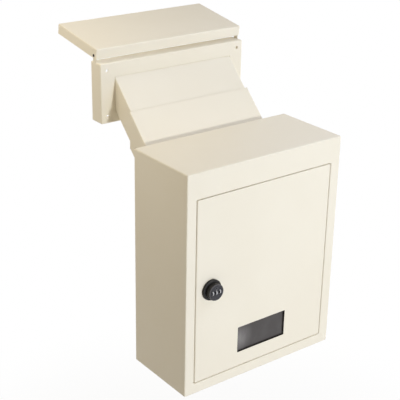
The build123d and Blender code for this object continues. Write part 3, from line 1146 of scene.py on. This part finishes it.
@dataclass
class Box:
    """The box in the room: shell, back panel, sleeve, stops and hinge.

    Attributes:
        finishes: the shared finishes.
        pin_head: radius of a pin's head and of the washers.
        pin_reach: length of its shank.
        seam: the bead round the back.
        seam_inset: how far the bead's middle lies inside the sheet, as a share of its radius.
        seam_back: how far the bead lies in front of the back.
    """

    finishes: Finishes
    pin_radius: float = 2.0
    pin_head: float = 3.4
    pin_head_rise: float = 1.5
    pin_reach: float = 10.1
    washer_inner: float = 2.05
    washer_thickness: float = 0.8
    washer_edge: float = 0.2
    stop_edge: float = 0.3
    seam: WeldBead = WeldBead()
    seam_inset: float = 0.8
    seam_back: float = 0.1
    seam_corner: float = 1.5

    def build(self) -> None:
        """Makes and dresses every piece of the box."""
        ivory = self.finishes.ivory
        paint("case_shell", ivory)
        paint("back_panel", ivory)
        publish(folded_tube("sleeve_tube", "chute_sleeve"), ivory, Body.CASE, "chute_sleeve")
        self.make_seam()
        stops = soften(joined_copy("door_stop_tabs", "door_stops"), self.stop_edge)
        publish(stops, ivory, Body.CASE, "door_stops")
        self.make_hinge()

    def make_seam(self) -> None:
        """Lays the bead that joins the back panel to the shell, in the groove between them."""
        low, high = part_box("case_shell")
        inset = 2 * (SHEET + self.seam.radius * self.seam_inset)
        width, height = (high.x - low.x) / MM - inset, (high.z - low.z) / MM - inset
        centre = middle("case_shell") / MM
        depth = high.y / MM - self.seam.radius - self.seam_back
        outline = round_corners(width, height, self.seam_corner)
        path = [(centre.x + x, depth, centre.z + z) for x, z in outline]
        bead = self.seam.lay("case_seam_weld", [path], True, self.finishes.ivory)
        publish(bead, self.finishes.ivory, Body.CASE)

    def make_hinge(self) -> None:
        """Turns the two headed pins and the nylon rings that carry the door."""
        low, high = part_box("hinge_pins")
        centre = middle("hinge_pins")
        shank, head, rise = self.pin_radius, self.pin_head, self.pin_head_rise
        tip, start = rise + self.pin_reach, rise + SHEET
        pin_profile = (
            (0.0, 0.25), (1.4, 0.18), (head - 0.5, 0.0), (head, 0.45), (head, rise), (shank, rise),
            (shank, tip - 0.6), (shank - 0.5, tip), (0.0, tip),
        )
        washer_profile = straight(self.washer_inner, head, start, start + self.washer_thickness)
        for word, level, way in (("lower", low.z, 1), ("upper", high.z, -1)):
            axis = Turning(Vector((centre.x, centre.y, level)), Vector((0, 0, way)))
            pin = turned(f"hinge_pin_{word}", axis, pin_profile, STEPS.pin)
            publish(pin, self.finishes.zinc, Body.CASE, "hinge_pins")
            washer = turned(f"hinge_washer_{word}", axis, washer_profile, STEPS.pin)
            publish(soften(washer, self.washer_edge), self.finishes.nylon, Body.CASE, "hinge_washers")


@dataclass
class Door:
    """The door: its pan, smoked window, gasket, retainer, studs and nuts.

    Attributes:
        finishes: the shared finishes.
        stud_pitch: rise of one turn of the thread.
        nut_corner: radius over a nut's corners.
        window_width: width of the opening in the door.
        seal_width: how far the gasket covers the window inside the opening.
        seal_set_back: how far the gasket lies behind the door's face.
        gasket: thickness of the gasket between door and sheet.
    """

    finishes: Finishes
    stud_radius: float = 1.9
    stud_pitch: float = 0.7
    nut_corner: float = 4.0
    nut_bore: float = 1.95
    window_width: float = 109.0
    window_height: float = 50.6
    window_corner: float = 1.0
    seal_width: float = 0.7
    seal_set_back: float = 0.3
    gasket: float = 1.6
    ring_edge: float = 0.18
    sheet_edge: float = 0.2
    seal_edge: float = 0.15

    def build(self) -> None:
        """Makes and dresses every piece of the door."""
        paint("door_panel", self.finishes.ivory)
        self.make_sheet()
        ring = soften(joined_copy("window_ring", "window_retainer"), self.ring_edge)
        publish(ring, self.finishes.zinc, Body.DOOR, "window_retainer")
        self.make_seal()
        self.make_fixings()

    def make_sheet(self) -> None:
        """Thins the window's sheet by the gasket in front of it."""
        sheet = joined_copy("window_sheet", "window_pane")
        level = middle("window_pane").y
        for vertex in sheet.data.vertices:
            if vertex.co.y < level:
                vertex.co.y += self.gasket * MM
        publish(soften(sheet, self.sheet_edge), self.finishes.pane, Body.DOOR, "window_pane")

    def make_seal(self) -> None:
        """Lines the window's cut edge with a stepped rubber gasket that holds the sheet off the door."""
        centre = middle("window_pane")
        low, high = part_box("window_pane")
        back, rear = low.y, low.y + self.gasket * MM
        front = back - (SHEET - self.seal_set_back) * MM
        slim = 2 * self.seal_width
        outer = round_corners(self.window_width, self.window_height, self.window_corner)
        inner = round_corners(self.window_width - slim, self.window_height - slim, self.window_corner / 2)
        flange = round_corners((high.x - low.x) / MM, (high.z - low.z) / MM, self.window_corner)
        steps = ((outer, (back, front)), (inner, (front, rear)), (flange, (rear, back)))
        work = bmesh.new()
        rings = [
            [work.verts.new((centre.x + x * MM, y, centre.z + z * MM)) for x, z in outline]
            for outline, levels in steps
            for y in levels
        ]
        skin(work, rings)
        seal = soften(new_piece("window_gasket", work), self.seal_edge)
        publish(seal, self.finishes.seal, Body.DOOR)

    def make_fixings(self) -> None:
        """Threads the four studs and puts a nut on each."""
        low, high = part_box("window_studs")
        near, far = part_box("window_nuts")
        edge = self.stud_radius * MM
        corners = [(x, z) for x in (low.x + edge, high.x - edge) for z in (low.z + edge, high.z - edge)]
        stud = Thread(self.stud_radius, (high.y - low.y) / MM, self.stud_pitch)
        nut = HexNut(self.nut_corner, (far.y - near.y) / MM, self.nut_bore)
        for name, kind, level, node in (
            ("window_stud_threads", stud, low.y, "window_studs"),
            ("window_hex_nuts", nut, near.y, "window_nuts"),
        ):
            made = kind.make(name, [(x, level, z) for x, z in corners], self.finishes.zinc)
            publish(made, self.finishes.zinc, Body.DOOR, node)


@dataclass
class Lock:
    """The combination cam lock: base, knob, cover, wheels, button, barrel, nut, spindle and cam.

    Radii are from each piece's own axis, and heights from the door's face towards the room.

    Attributes:
        finishes: the shared finishes.
        split: height at which the knob's body ends and its cover starts.
        flute_power: how much narrower a flute is than a plain wave.
        front: height of the cover's face.
        barrel_flat: half the width over the barrel's flats.
        wheel_radius: radius of a wheel's rim where it is widest.
        wheel_flat_share: how much of a tenth of the rim is flat, the rest being a groove.
        window_room: gap between a wheel's edge and its window.
        side_room: gap beside a wheel.
        band_half: half the width of a wheel's pale rim.
        foot_drop: how deep the button's well goes below its foot.
        recess_arm: half the length of one bar of the screw's cross.
        recess_blade: half its width.
    """

    finishes: Finishes
    base_radius: float = 19.0
    base_rise: float = 5.0
    knob_radius: float = 15.0
    knob_start: float = 5.3
    split: float = 13.7
    front: float = 15.5
    spindle_hole: float = 6.05
    barrel_radius: float = 9.5
    barrel_flat: float = 8.0
    barrel_pitch: float = 1.0
    washer_radius: float = 14.0
    washer_thickness: float = 1.0
    washer_teeth: int = 18
    tooth_depth: float = 0.9
    nut_corner: float = 15.0
    nut_thickness: float = 4.5
    nut_bore: float = 9.55
    flutes: int = 10
    flute_depth: float = 0.55
    flute_power: float = 1.5
    wheel_radius: float = 4.54
    wheel_groove: float = 0.3
    wheel_flat_share: float = 0.86
    axle_bore: float = 1.05
    window_room: float = 0.4
    side_room: float = 1.2
    band_half: float = 1.25
    button_radius: float = 1.5
    button_room: float = 0.15
    foot_radius: float = 2.1
    foot_rise: float = 2.0
    foot_room: float = 0.3
    foot_drop: float = 2.0
    ring_radius: float = 2.5
    ring_rise: float = 0.4
    digit_height: float = 1.9
    digit_relief: float = 0.06
    screw_radius: float = 1.9
    screw_head: float = 2.4
    recess_arm: float = 2.2
    recess_blade: float = 0.45
    recess_depth: float = 1.3
    cam_edge: float = 0.35
    spacer_edge: float = 0.2

    def __post_init__(self) -> None:
        """Finds the axes of the lock and its button, which run towards the room, and the wheels."""
        cover, button = middle("knob_cover"), middle("code_button")
        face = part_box("door_panel")[0].y
        self.axis = Turning(Vector((cover.x, face, cover.z)), Vector((0, -1, 0)))
        self.button_axis = Turning(Vector((button.x, face, button.z)), self.axis.direction)
        self.wheels = [middle(f"number_wheel_{number}") for number in (1, 2, 3)]
        low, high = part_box("number_wheel_1")
        self.wheel_width = (high.x - low.x) / MM

    def build(self) -> None:
        """Makes and dresses every piece of the lock."""
        self.make_base()
        self.make_knob()
        self.make_cover()
        for number, body in enumerate((Body.WHEEL_1, Body.WHEEL_2, Body.WHEEL_3), start=1):
            self.make_wheel(number, body)
        self.make_button()
        self.make_back()

    def make_base(self) -> None:
        """Turns the base on the door and threads the barrel behind it."""
        radius, hole, rise = self.base_radius, self.spindle_hole, self.base_rise
        profile = (
            (hole, 0.0), (radius - 0.3, 0.0), (radius, 0.4), (radius, rise - 1.5),
            (radius - 0.44, rise - 0.44), (radius - 1.5, rise), (hole, rise),
        )
        black = self.finishes.black
        publish(turned("lock_base", self.axis, profile, STEPS.base), black, Body.DOOR, "lock_housing")
        length = (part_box("lock_housing")[1].y - self.axis.origin.y) / MM
        thread = Thread(self.barrel_radius, length, self.barrel_pitch, hole, self.barrel_flat, STEPS.barrel)
        publish(thread.make("lock_barrel", [self.axis.origin], black), black, Body.DOOR)

    def pockets(self) -> list[bpy.types.Object]:
        """Returns the tool solids that make room for the wheels."""
        reach = self.wheel_width / 2 + self.side_room
        radius = (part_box("number_wheel_1")[1].z - self.wheels[0].z) / MM + self.window_room
        profile = straight(0.0, radius, -reach, reach)
        axes = [Turning(centre, Vector((1, 0, 0))) for centre in self.wheels]
        return [turned("tool", axis, profile, STEPS.pocket) for axis in axes]

    def scallop(self, angle: float) -> float:
        """Returns how far the grip's flutes cut in at an angle, as a negative radius."""
        return -self.flute_depth * (0.5 + 0.5 * math.cos(self.flutes * angle)) ** self.flute_power

    def make_knob(self) -> None:
        """Turns the fluted knob, with room for the wheels and the button."""
        radius, start, end = self.knob_radius, self.knob_start, self.split
        profile = (
            (0.0, start), (radius - 1.4, start), (radius - 0.6, start + 0.25), (radius, start + 1.0, 1),
            (radius, start + 2.0, 1), (radius, end - 2.0, 1), (radius, end - 0.9, 1),
            (radius - 0.35, end - 0.35), (radius - 0.5, end), (0.0, end),
        )
        knob = turned("lock_grip", self.axis, profile, STEPS.grip, self.scallop)
        foot = (self.axis.origin.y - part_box("code_button")[1].y) / MM
        well = straight(0.0, self.foot_radius + self.foot_room, foot - self.foot_drop, end + PAST)
        carve(knob, [*self.pockets(), turned("tool", self.button_axis, well, STEPS.well)])
        publish(knob, self.finishes.black, Body.KNOB, "lock_knob")

    def make_cover(self) -> None:
        """Turns the knob's face with its wheel windows, and the ring round the button."""
        radius, start, front = self.knob_radius, self.split, self.front
        profile = (
            (0.0, start), (radius - 0.3, start), (radius, start + 0.3), (radius, front - 1.2),
            (radius - 0.35, front - 0.36), (radius - 1.2, front), (radius - 2.1, front),
            (radius - 2.35, front - 0.35), (radius - 2.9, front - 0.35), (radius - 3.15, front), (0.0, front),
        )
        cover = turned("knob_face", self.axis, profile, STEPS.face)
        bore = self.button_radius + self.button_room
        hole = straight(0.0, bore, start - PAST, front + PAST)
        carve(cover, [*self.pockets(), turned("tool", self.button_axis, hole, STEPS.button)])
        publish(cover, self.finishes.face, Body.KNOB, "knob_cover")
        outer, top = self.ring_radius, front + self.ring_rise
        ring_profile = (
            (bore, front - 0.4), (outer, front - 0.4), (outer, front + 0.1), (outer - 0.25, top),
            (bore + 0.12, top), (bore, top - 0.12),
        )
        ring = turned("button_ring", self.button_axis, ring_profile, STEPS.button)
        # The ring's pale finish is a painted highlight.
        publish(ring, self.finishes.ring, Body.KNOB)

    def facet(self, angle: float) -> float:
        """Returns how far a wheel's flats and grooves cut in at an angle, as a negative length."""
        half, edge = math.tau / (2 * DIGITS), self.wheel_flat_share
        off = abs((angle + half) % (2 * half) - half) / half
        dip = min(0.0, self.wheel_flat() / math.cos(off * half) - self.wheel_radius)
        return dip - self.wheel_groove * max(0.0, (off - edge) / (1.0 - edge))

    def wheel_flat(self) -> float:
        """Returns how far a wheel's flats lie from its axis."""
        return self.wheel_radius * math.cos(math.tau / (2 * DIGITS) * self.wheel_flat_share)

    def make_wheel(self, number: int, body: Body) -> None:
        """Moulds one number wheel: a black hub, and a pale rim with ten flats and its digits.

        Args:
            number: which wheel, from the left.
            body: the body that it rides on.
        """
        radius, half, band, bore = self.wheel_radius, self.wheel_width / 2, self.band_half, self.axle_bore
        seat, step = band + 0.02, half - 0.12
        node, axis = f"number_wheel_{number}", Turning(self.wheels[number - 1], Vector((1, 0, 0)))
        rim = mirrored((radius - 1.1, -band), (radius - 0.25, -band, 1), (radius, 0.2 - band, 1))
        hub = mirrored(
            (bore, -half), (radius - 1.4, -half), (radius - 1.2, -step), (radius - 0.6, -step),
            (radius - 0.35, -seat, 1), (radius - 1.12, -seat),
        )
        for word, profile, coat in (("rim", rim, self.finishes.wheel), ("hub", hub, self.finishes.button)):
            publish(turned(f"{node}_{word}", axis, profile, STEPS.wheel, self.facet), coat, body, node)
        ring = DigitRing(self.wheel_flat(), self.digit_height, self.digit_relief)
        publish(ring.make(f"{node}_digits", [axis.origin], self.finishes.digit), self.finishes.digit, body)

    def make_button(self) -> None:
        """Turns the code button, domed and dimpled."""
        low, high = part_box("code_button")
        place = self.button_axis.origin
        axis = Turning(Vector((place.x, high.y, place.z)), self.axis.direction)
        rise, radius, foot = (high.y - low.y) / MM, self.button_radius, self.foot_rise
        profile = (
            (0.0, 0.0), (self.foot_radius, 0.0), (self.foot_radius, foot), (radius, foot),
            (radius, rise - 0.55), (radius - 0.25, rise - 0.15), (radius - 0.8, rise),
            (0.9, rise - 0.05), (0.6, rise - 0.3), (0.0, rise - 0.35),
        )
        stem = turned("code_button_stem", axis, profile, STEPS.button)
        publish(stem, self.finishes.button, Body.BUTTON, "code_button")

    def tooth(self, angle: float) -> float:
        """Returns how far the lock washer's teeth stand back from the barrel at an angle."""
        return self.tooth_depth * (0.5 - 0.5 * math.cos(self.washer_teeth * angle))

    def make_back(self) -> None:
        """Makes what lies behind the door: washer, nut, cam washer, cam, screw and spindle, and the axle."""
        zinc, inner, outer = self.finishes.zinc, self.nut_bore, self.washer_radius
        low = -SHEET - self.washer_thickness
        profile = ((inner, low, 1), (outer, low), (outer, -SHEET), (inner, -SHEET, 1))
        washer = turned("lock_tooth_washer", self.axis, profile, STEPS.washer, self.tooth)
        publish(washer, zinc, Body.DOOR, "lock_washer")
        place = self.axis.origin - Vector((0, low, 0)) * MM
        nut = HexNut(self.nut_corner, self.nut_thickness, self.nut_bore)
        publish(nut.make("lock_hex_nut", [place], zinc), zinc, Body.DOOR, "lock_nut")
        for name, node, width in (
            ("cam_plate", "lock_cam", self.cam_edge),
            ("cam_spacer", "cam_washer", self.spacer_edge),
        ):
            publish(soften(joined_copy(name, node), width), zinc, Body.KNOB, node)
        self.make_cam_screw()
        for node in ("lock_spindle", "wheel_axle"):
            paint(node, zinc)

    def make_cam_screw(self) -> None:
        """Turns the cam's screw and cuts its cross recess."""
        low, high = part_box("cam_screw")
        centre = middle("cam_screw")
        axis = Turning(Vector((centre.x, low.y, centre.z)), Vector((0, 1, 0)))
        length, wide, shank = (high.y - low.y) / MM, (high.x - low.x) / 2 / MM, self.screw_radius
        under = length - self.screw_head
        profile = (
            (0.0, 0.0), (shank - 0.5, 0.0), (shank, 0.5), (shank, under), (wide, under),
            (wide, length - 1.1), (wide - 0.35, length - 0.45), (wide - 1.3, length - 0.06), (0.0, length),
        )
        screw = turned("cam_pan_screw", axis, profile, STEPS.screw)
        arm, blade = self.recess_arm * MM, self.recess_blade * MM
        deep, out = high.y - self.recess_depth * MM, high.y + PAST * MM
        tools = [
            block(Vector((centre.x - a, deep, centre.z - b)), Vector((centre.x + a, out, centre.z + b)))
            for a, b in ((arm, blade), (blade, arm))
        ]
        carve(screw, tools)
        publish(screw, self.finishes.zinc, Body.KNOB, "cam_screw")


@dataclass
class Hopper:
    """The hopper outside the wall: frame, sliding chute, lid and its rivets.

    Attributes:
        finishes: the shared finishes.
        frame_height: height of the frame's flat plate.
        rivet_rise: thickness of a rivet's head.
        tail_radius: radius of its closed end.
        tail_room: gap between the frame's ear and that end.
        seam: the bead in the frame's corners.
        seam_inset: how far the bead's middle lies inside the sheet, as a share of its radius.
        seam_ends: how far the bead stops short of the plate and of the edge.
    """

    finishes: Finishes
    frame_height: float = 109.0
    rivet_radius: float = 2.0
    rivet_head: float = 2.8
    rivet_rise: float = 0.9
    tail_radius: float = 3.2
    tail_rise: float = 1.0
    tail_room: float = 0.3
    seam: WeldBead = WeldBead()
    seam_inset: float = 0.7
    seam_ends: tuple[float, float] = (0.4, 0.6)

    def build(self) -> None:
        """Makes and dresses every piece of the hopper."""
        ivory = self.finishes.ivory
        paint("hopper_frame", ivory)
        paint("lid", ivory)
        publish(folded_tube("chute_tube", "inner_chute"), ivory, Body.HOPPER, "inner_chute")
        self.make_seams()
        self.make_rivets()

    def make_seams(self) -> None:
        """Lays a ground bead down each inside corner of the frame."""
        low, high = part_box("hopper_frame")
        near, far = low.y / MM + SHEET + self.seam_ends[0], high.y / MM - self.seam_ends[1]
        inset = SHEET + self.seam.radius * self.seam_inset
        paths = [
            [(x, near, z), (x, far, z)]
            for x in (low.x / MM + inset, high.x / MM - inset)
            for z in (low.z / MM + inset, low.z / MM + self.frame_height - inset)
        ]
        bead = self.seam.lay("frame_corner_welds", paths, False, self.finishes.ivory)
        publish(bead, self.finishes.ivory, Body.HOPPER)

    def make_rivets(self) -> None:
        """Turns the two rivets that the lid swings on."""
        low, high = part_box("lid_rivets")
        centre = middle("lid_rivets")
        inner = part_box("hopper_frame")[1].x / MM - SHEET
        shank, head, tail = self.rivet_radius, self.rivet_rise, self.tail_radius
        for word, edge, way in (("left", low.x, 1), ("right", high.x, -1)):
            axis = Turning(Vector((edge, centre.y, centre.z)), Vector((way, 0, 0)))
            start, rise = abs(edge) / MM - inner + self.tail_room, self.tail_rise
            profile = (
                (0.0, 0.0), (1.2, 0.08), (2.2, 0.4), (self.rivet_head, head), (shank, head), (shank, start),
                (tail, start), (tail - 0.3, start + rise * 0.7), (1.6, start + rise),
                (1.1, start + rise * 0.4), (0.0, start + rise * 0.3),
            )
            rivet = turned(f"lid_rivet_{word}", axis, profile, STEPS.rivet)
            publish(rivet, self.finishes.black, Body.LID, "lid_rivets")


@dataclass(frozen=True)
class Softbox:
    """One square lamp that faces the object.

    Attributes:
        way: the direction from the object to the lamp.
        distance: how far away it hangs, in metres.
        side: the length of its side, in metres.
        power: its power in watts.
        colour: the colour of its light.
    """

    name: str
    way: Point
    distance: float
    side: float
    power: float
    colour: Colour

    def hang(self, target: Vector) -> None:
        """Hangs the lamp.

        Args:
            target: what it points at.
        """
        lamp = bpy.data.lights.new(self.name, "AREA")
        lamp.shape = "SQUARE"
        lamp.size = self.side
        lamp.energy = self.power
        lamp.color = self.colour
        holder = bpy.data.objects.new(self.name, lamp)
        holder.visible_camera = False
        way = Vector(self.way).normalized()
        holder.location = target + way * self.distance
        holder.rotation_euler = way.to_track_quat("Z", "Y").to_euler()
        bpy.context.scene.collection.objects.link(holder)


@dataclass
class Studio:
    """The floor, the light and the camera of the photograph.

    Attributes:
        floor_drop: how far the floor lies below the box, in metres.
        floor_half: half the floor's width, in metres.
        fade: distances between which the floor turns plain white, in metres.
        near_white: how white the floor is nearer than that, as a share.
        sight: the nearest and the farthest distance that the camera shows, in metres.
        eye: where the camera stands, in metres.
        bearing: how far it is turned from +Y towards +X, in degrees.
        dip: how far it looks down, in degrees.
        roll: how far it leans over, in degrees.
        aim: what the lamps point at, in metres.
        ambient: the light from all round.
    """

    floor_drop: float = 0.40
    floor_half: float = 30.0
    fade: tuple[float, float] = (0.62, 0.95)
    near_white: float = 0.88
    floor_dark: Colour = (0.78, 0.78, 0.78)
    floor_light: Colour = (0.80, 0.80, 0.80)
    lens: float = 92.15
    sensor: float = 36.0
    sight: tuple[float, float] = (0.05, 100.0)
    eye: Point = (-1.0588, -1.3475, 0.8489)
    bearing: float = 37.44
    dip: float = 23.11
    roll: float = 1.08
    aim: Point = (0.0, 0.03, 0.1)
    ambient: Colour = (0.212, 0.179, 0.124)
    lamps: tuple[Softbox, ...] = (
        Softbox("key", (0.15, -1.0, 0.22), 3.0, 0.3, 39.9, (0.974, 1.0, 0.993)),
        Softbox("top", (0.3, -0.5, 0.85), 0.9, 0.5, 2.35, (0.597, 0.713, 1.0)),
        Softbox("fill", (-1.0, 0.3, 1.2), 1.1, 0.7, 5.28, (1.0, 0.920, 0.773)),
        Softbox("low", (0.1, -1.0, -0.25), 1.5, 0.5, 4.03, (0.673, 0.761, 1.0)),
        Softbox("back", (0.25, 1.0, 0.05), 2.2, 1.2, 26.0, WHITE),
        Softbox("right", (1.0, 0.25, 0.1), 2.0, 1.2, 16.0, WHITE),
    )

    def build(self) -> None:
        """Sets the whole studio."""
        self.lay_floor()
        self.light_world()
        for lamp in self.lamps:
            lamp.hang(Vector(self.aim))
        self.place_camera()
        bpy.context.scene.view_settings.view_transform = "Standard"

    @staticmethod
    def seen_white(graph: Graph) -> Socket:
        """Returns 1 for a ray that sees the background itself or in metal and glass."""
        path = graph.node("ShaderNodeLightPath")
        glossy = path.other("Is Glossy Ray")
        clear = path.other("Is Transmission Ray")
        return path.maths("MAXIMUM", glossy).maths("MAXIMUM", clear)

    def lay_floor(self) -> None:
        """Lays a plain pale floor that keeps the object's shadow."""
        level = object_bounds()[0].z - self.floor_drop
        work = bmesh.new()
        half = self.floor_half
        corners = ((-half, -half), (half, -half), (half, half), (-half, half))
        work.faces.new([work.verts.new((x, y, level)) for x, y in corners])
        floor = new_piece("floor", work)
        white = Surface("studio_floor")
        pale = white.blend(white.noise(Pattern(60.0)), self.floor_dark, self.floor_light)
        matt = white.node("ShaderNodeBsdfDiffuse", None, {"Color": pale})
        glow = white.node("ShaderNodeEmission", None, {"Color": (*WHITE, 1.0), "Strength": 1.0})
        far = white.away((0.0, 0.0, 0.0)).between(*self.fade)
        share = self.seen_white(white) * (far * (1.0 - self.near_white) + self.near_white)
        white.node_end(white.node("ShaderNodeMixShader", None, {0: share, 1: matt, 2: glow}))
        floor.data.materials.append(white.material)
        floor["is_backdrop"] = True

    def light_world(self) -> None:
        """Lights the object evenly and shows white behind it."""
        world = bpy.data.worlds.new("studio")
        world.use_nodes = True
        world.node_tree.nodes.clear()
        bpy.context.scene.world = world
        graph = Graph(world.node_tree)
        soft = graph.node("ShaderNodeBackground", None, {"Color": (*self.ambient, 1.0), "Strength": 1.0})
        white = graph.node("ShaderNodeBackground", None, {"Color": (*WHITE, 1.0), "Strength": 1.0})
        mixed = graph.node("ShaderNodeMixShader", None, {0: self.seen_white(graph), 1: soft, 2: white})
        end = world.node_tree.nodes.new("ShaderNodeOutputWorld")
        graph.feed(end, "Surface", mixed)

    def place_camera(self) -> None:
        """Places the camera where the photograph was taken from."""
        data = bpy.data.cameras.new("photograph")
        data.lens = self.lens
        data.sensor_width = self.sensor
        data.clip_start, data.clip_end = self.sight
        camera = bpy.data.objects.new("photograph", data)
        pan = Matrix.Rotation(math.radians(-self.bearing), 4, "Z")
        tilt = Matrix.Rotation(math.radians(90.0 - self.dip), 4, "X")
        lean = Matrix.Rotation(math.radians(self.roll), 4, "Z")
        camera.matrix_world = Matrix.Translation(self.eye) @ pan @ tilt @ lean
        bpy.context.scene.collection.objects.link(camera)
        bpy.context.scene.camera = camera


def main() -> None:
    """Builds the mailbox and its studio."""
    logging.basicConfig(level=logging.INFO, format="%(message)s")
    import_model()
    finishes = Finishes()
    for assembly in (Box(finishes), Door(finishes), Lock(finishes), Hopper(finishes)):
        log.info("%s", type(assembly).__name__)
        assembly.build()
    Studio().build()


if __name__ == "__main__":
    main()
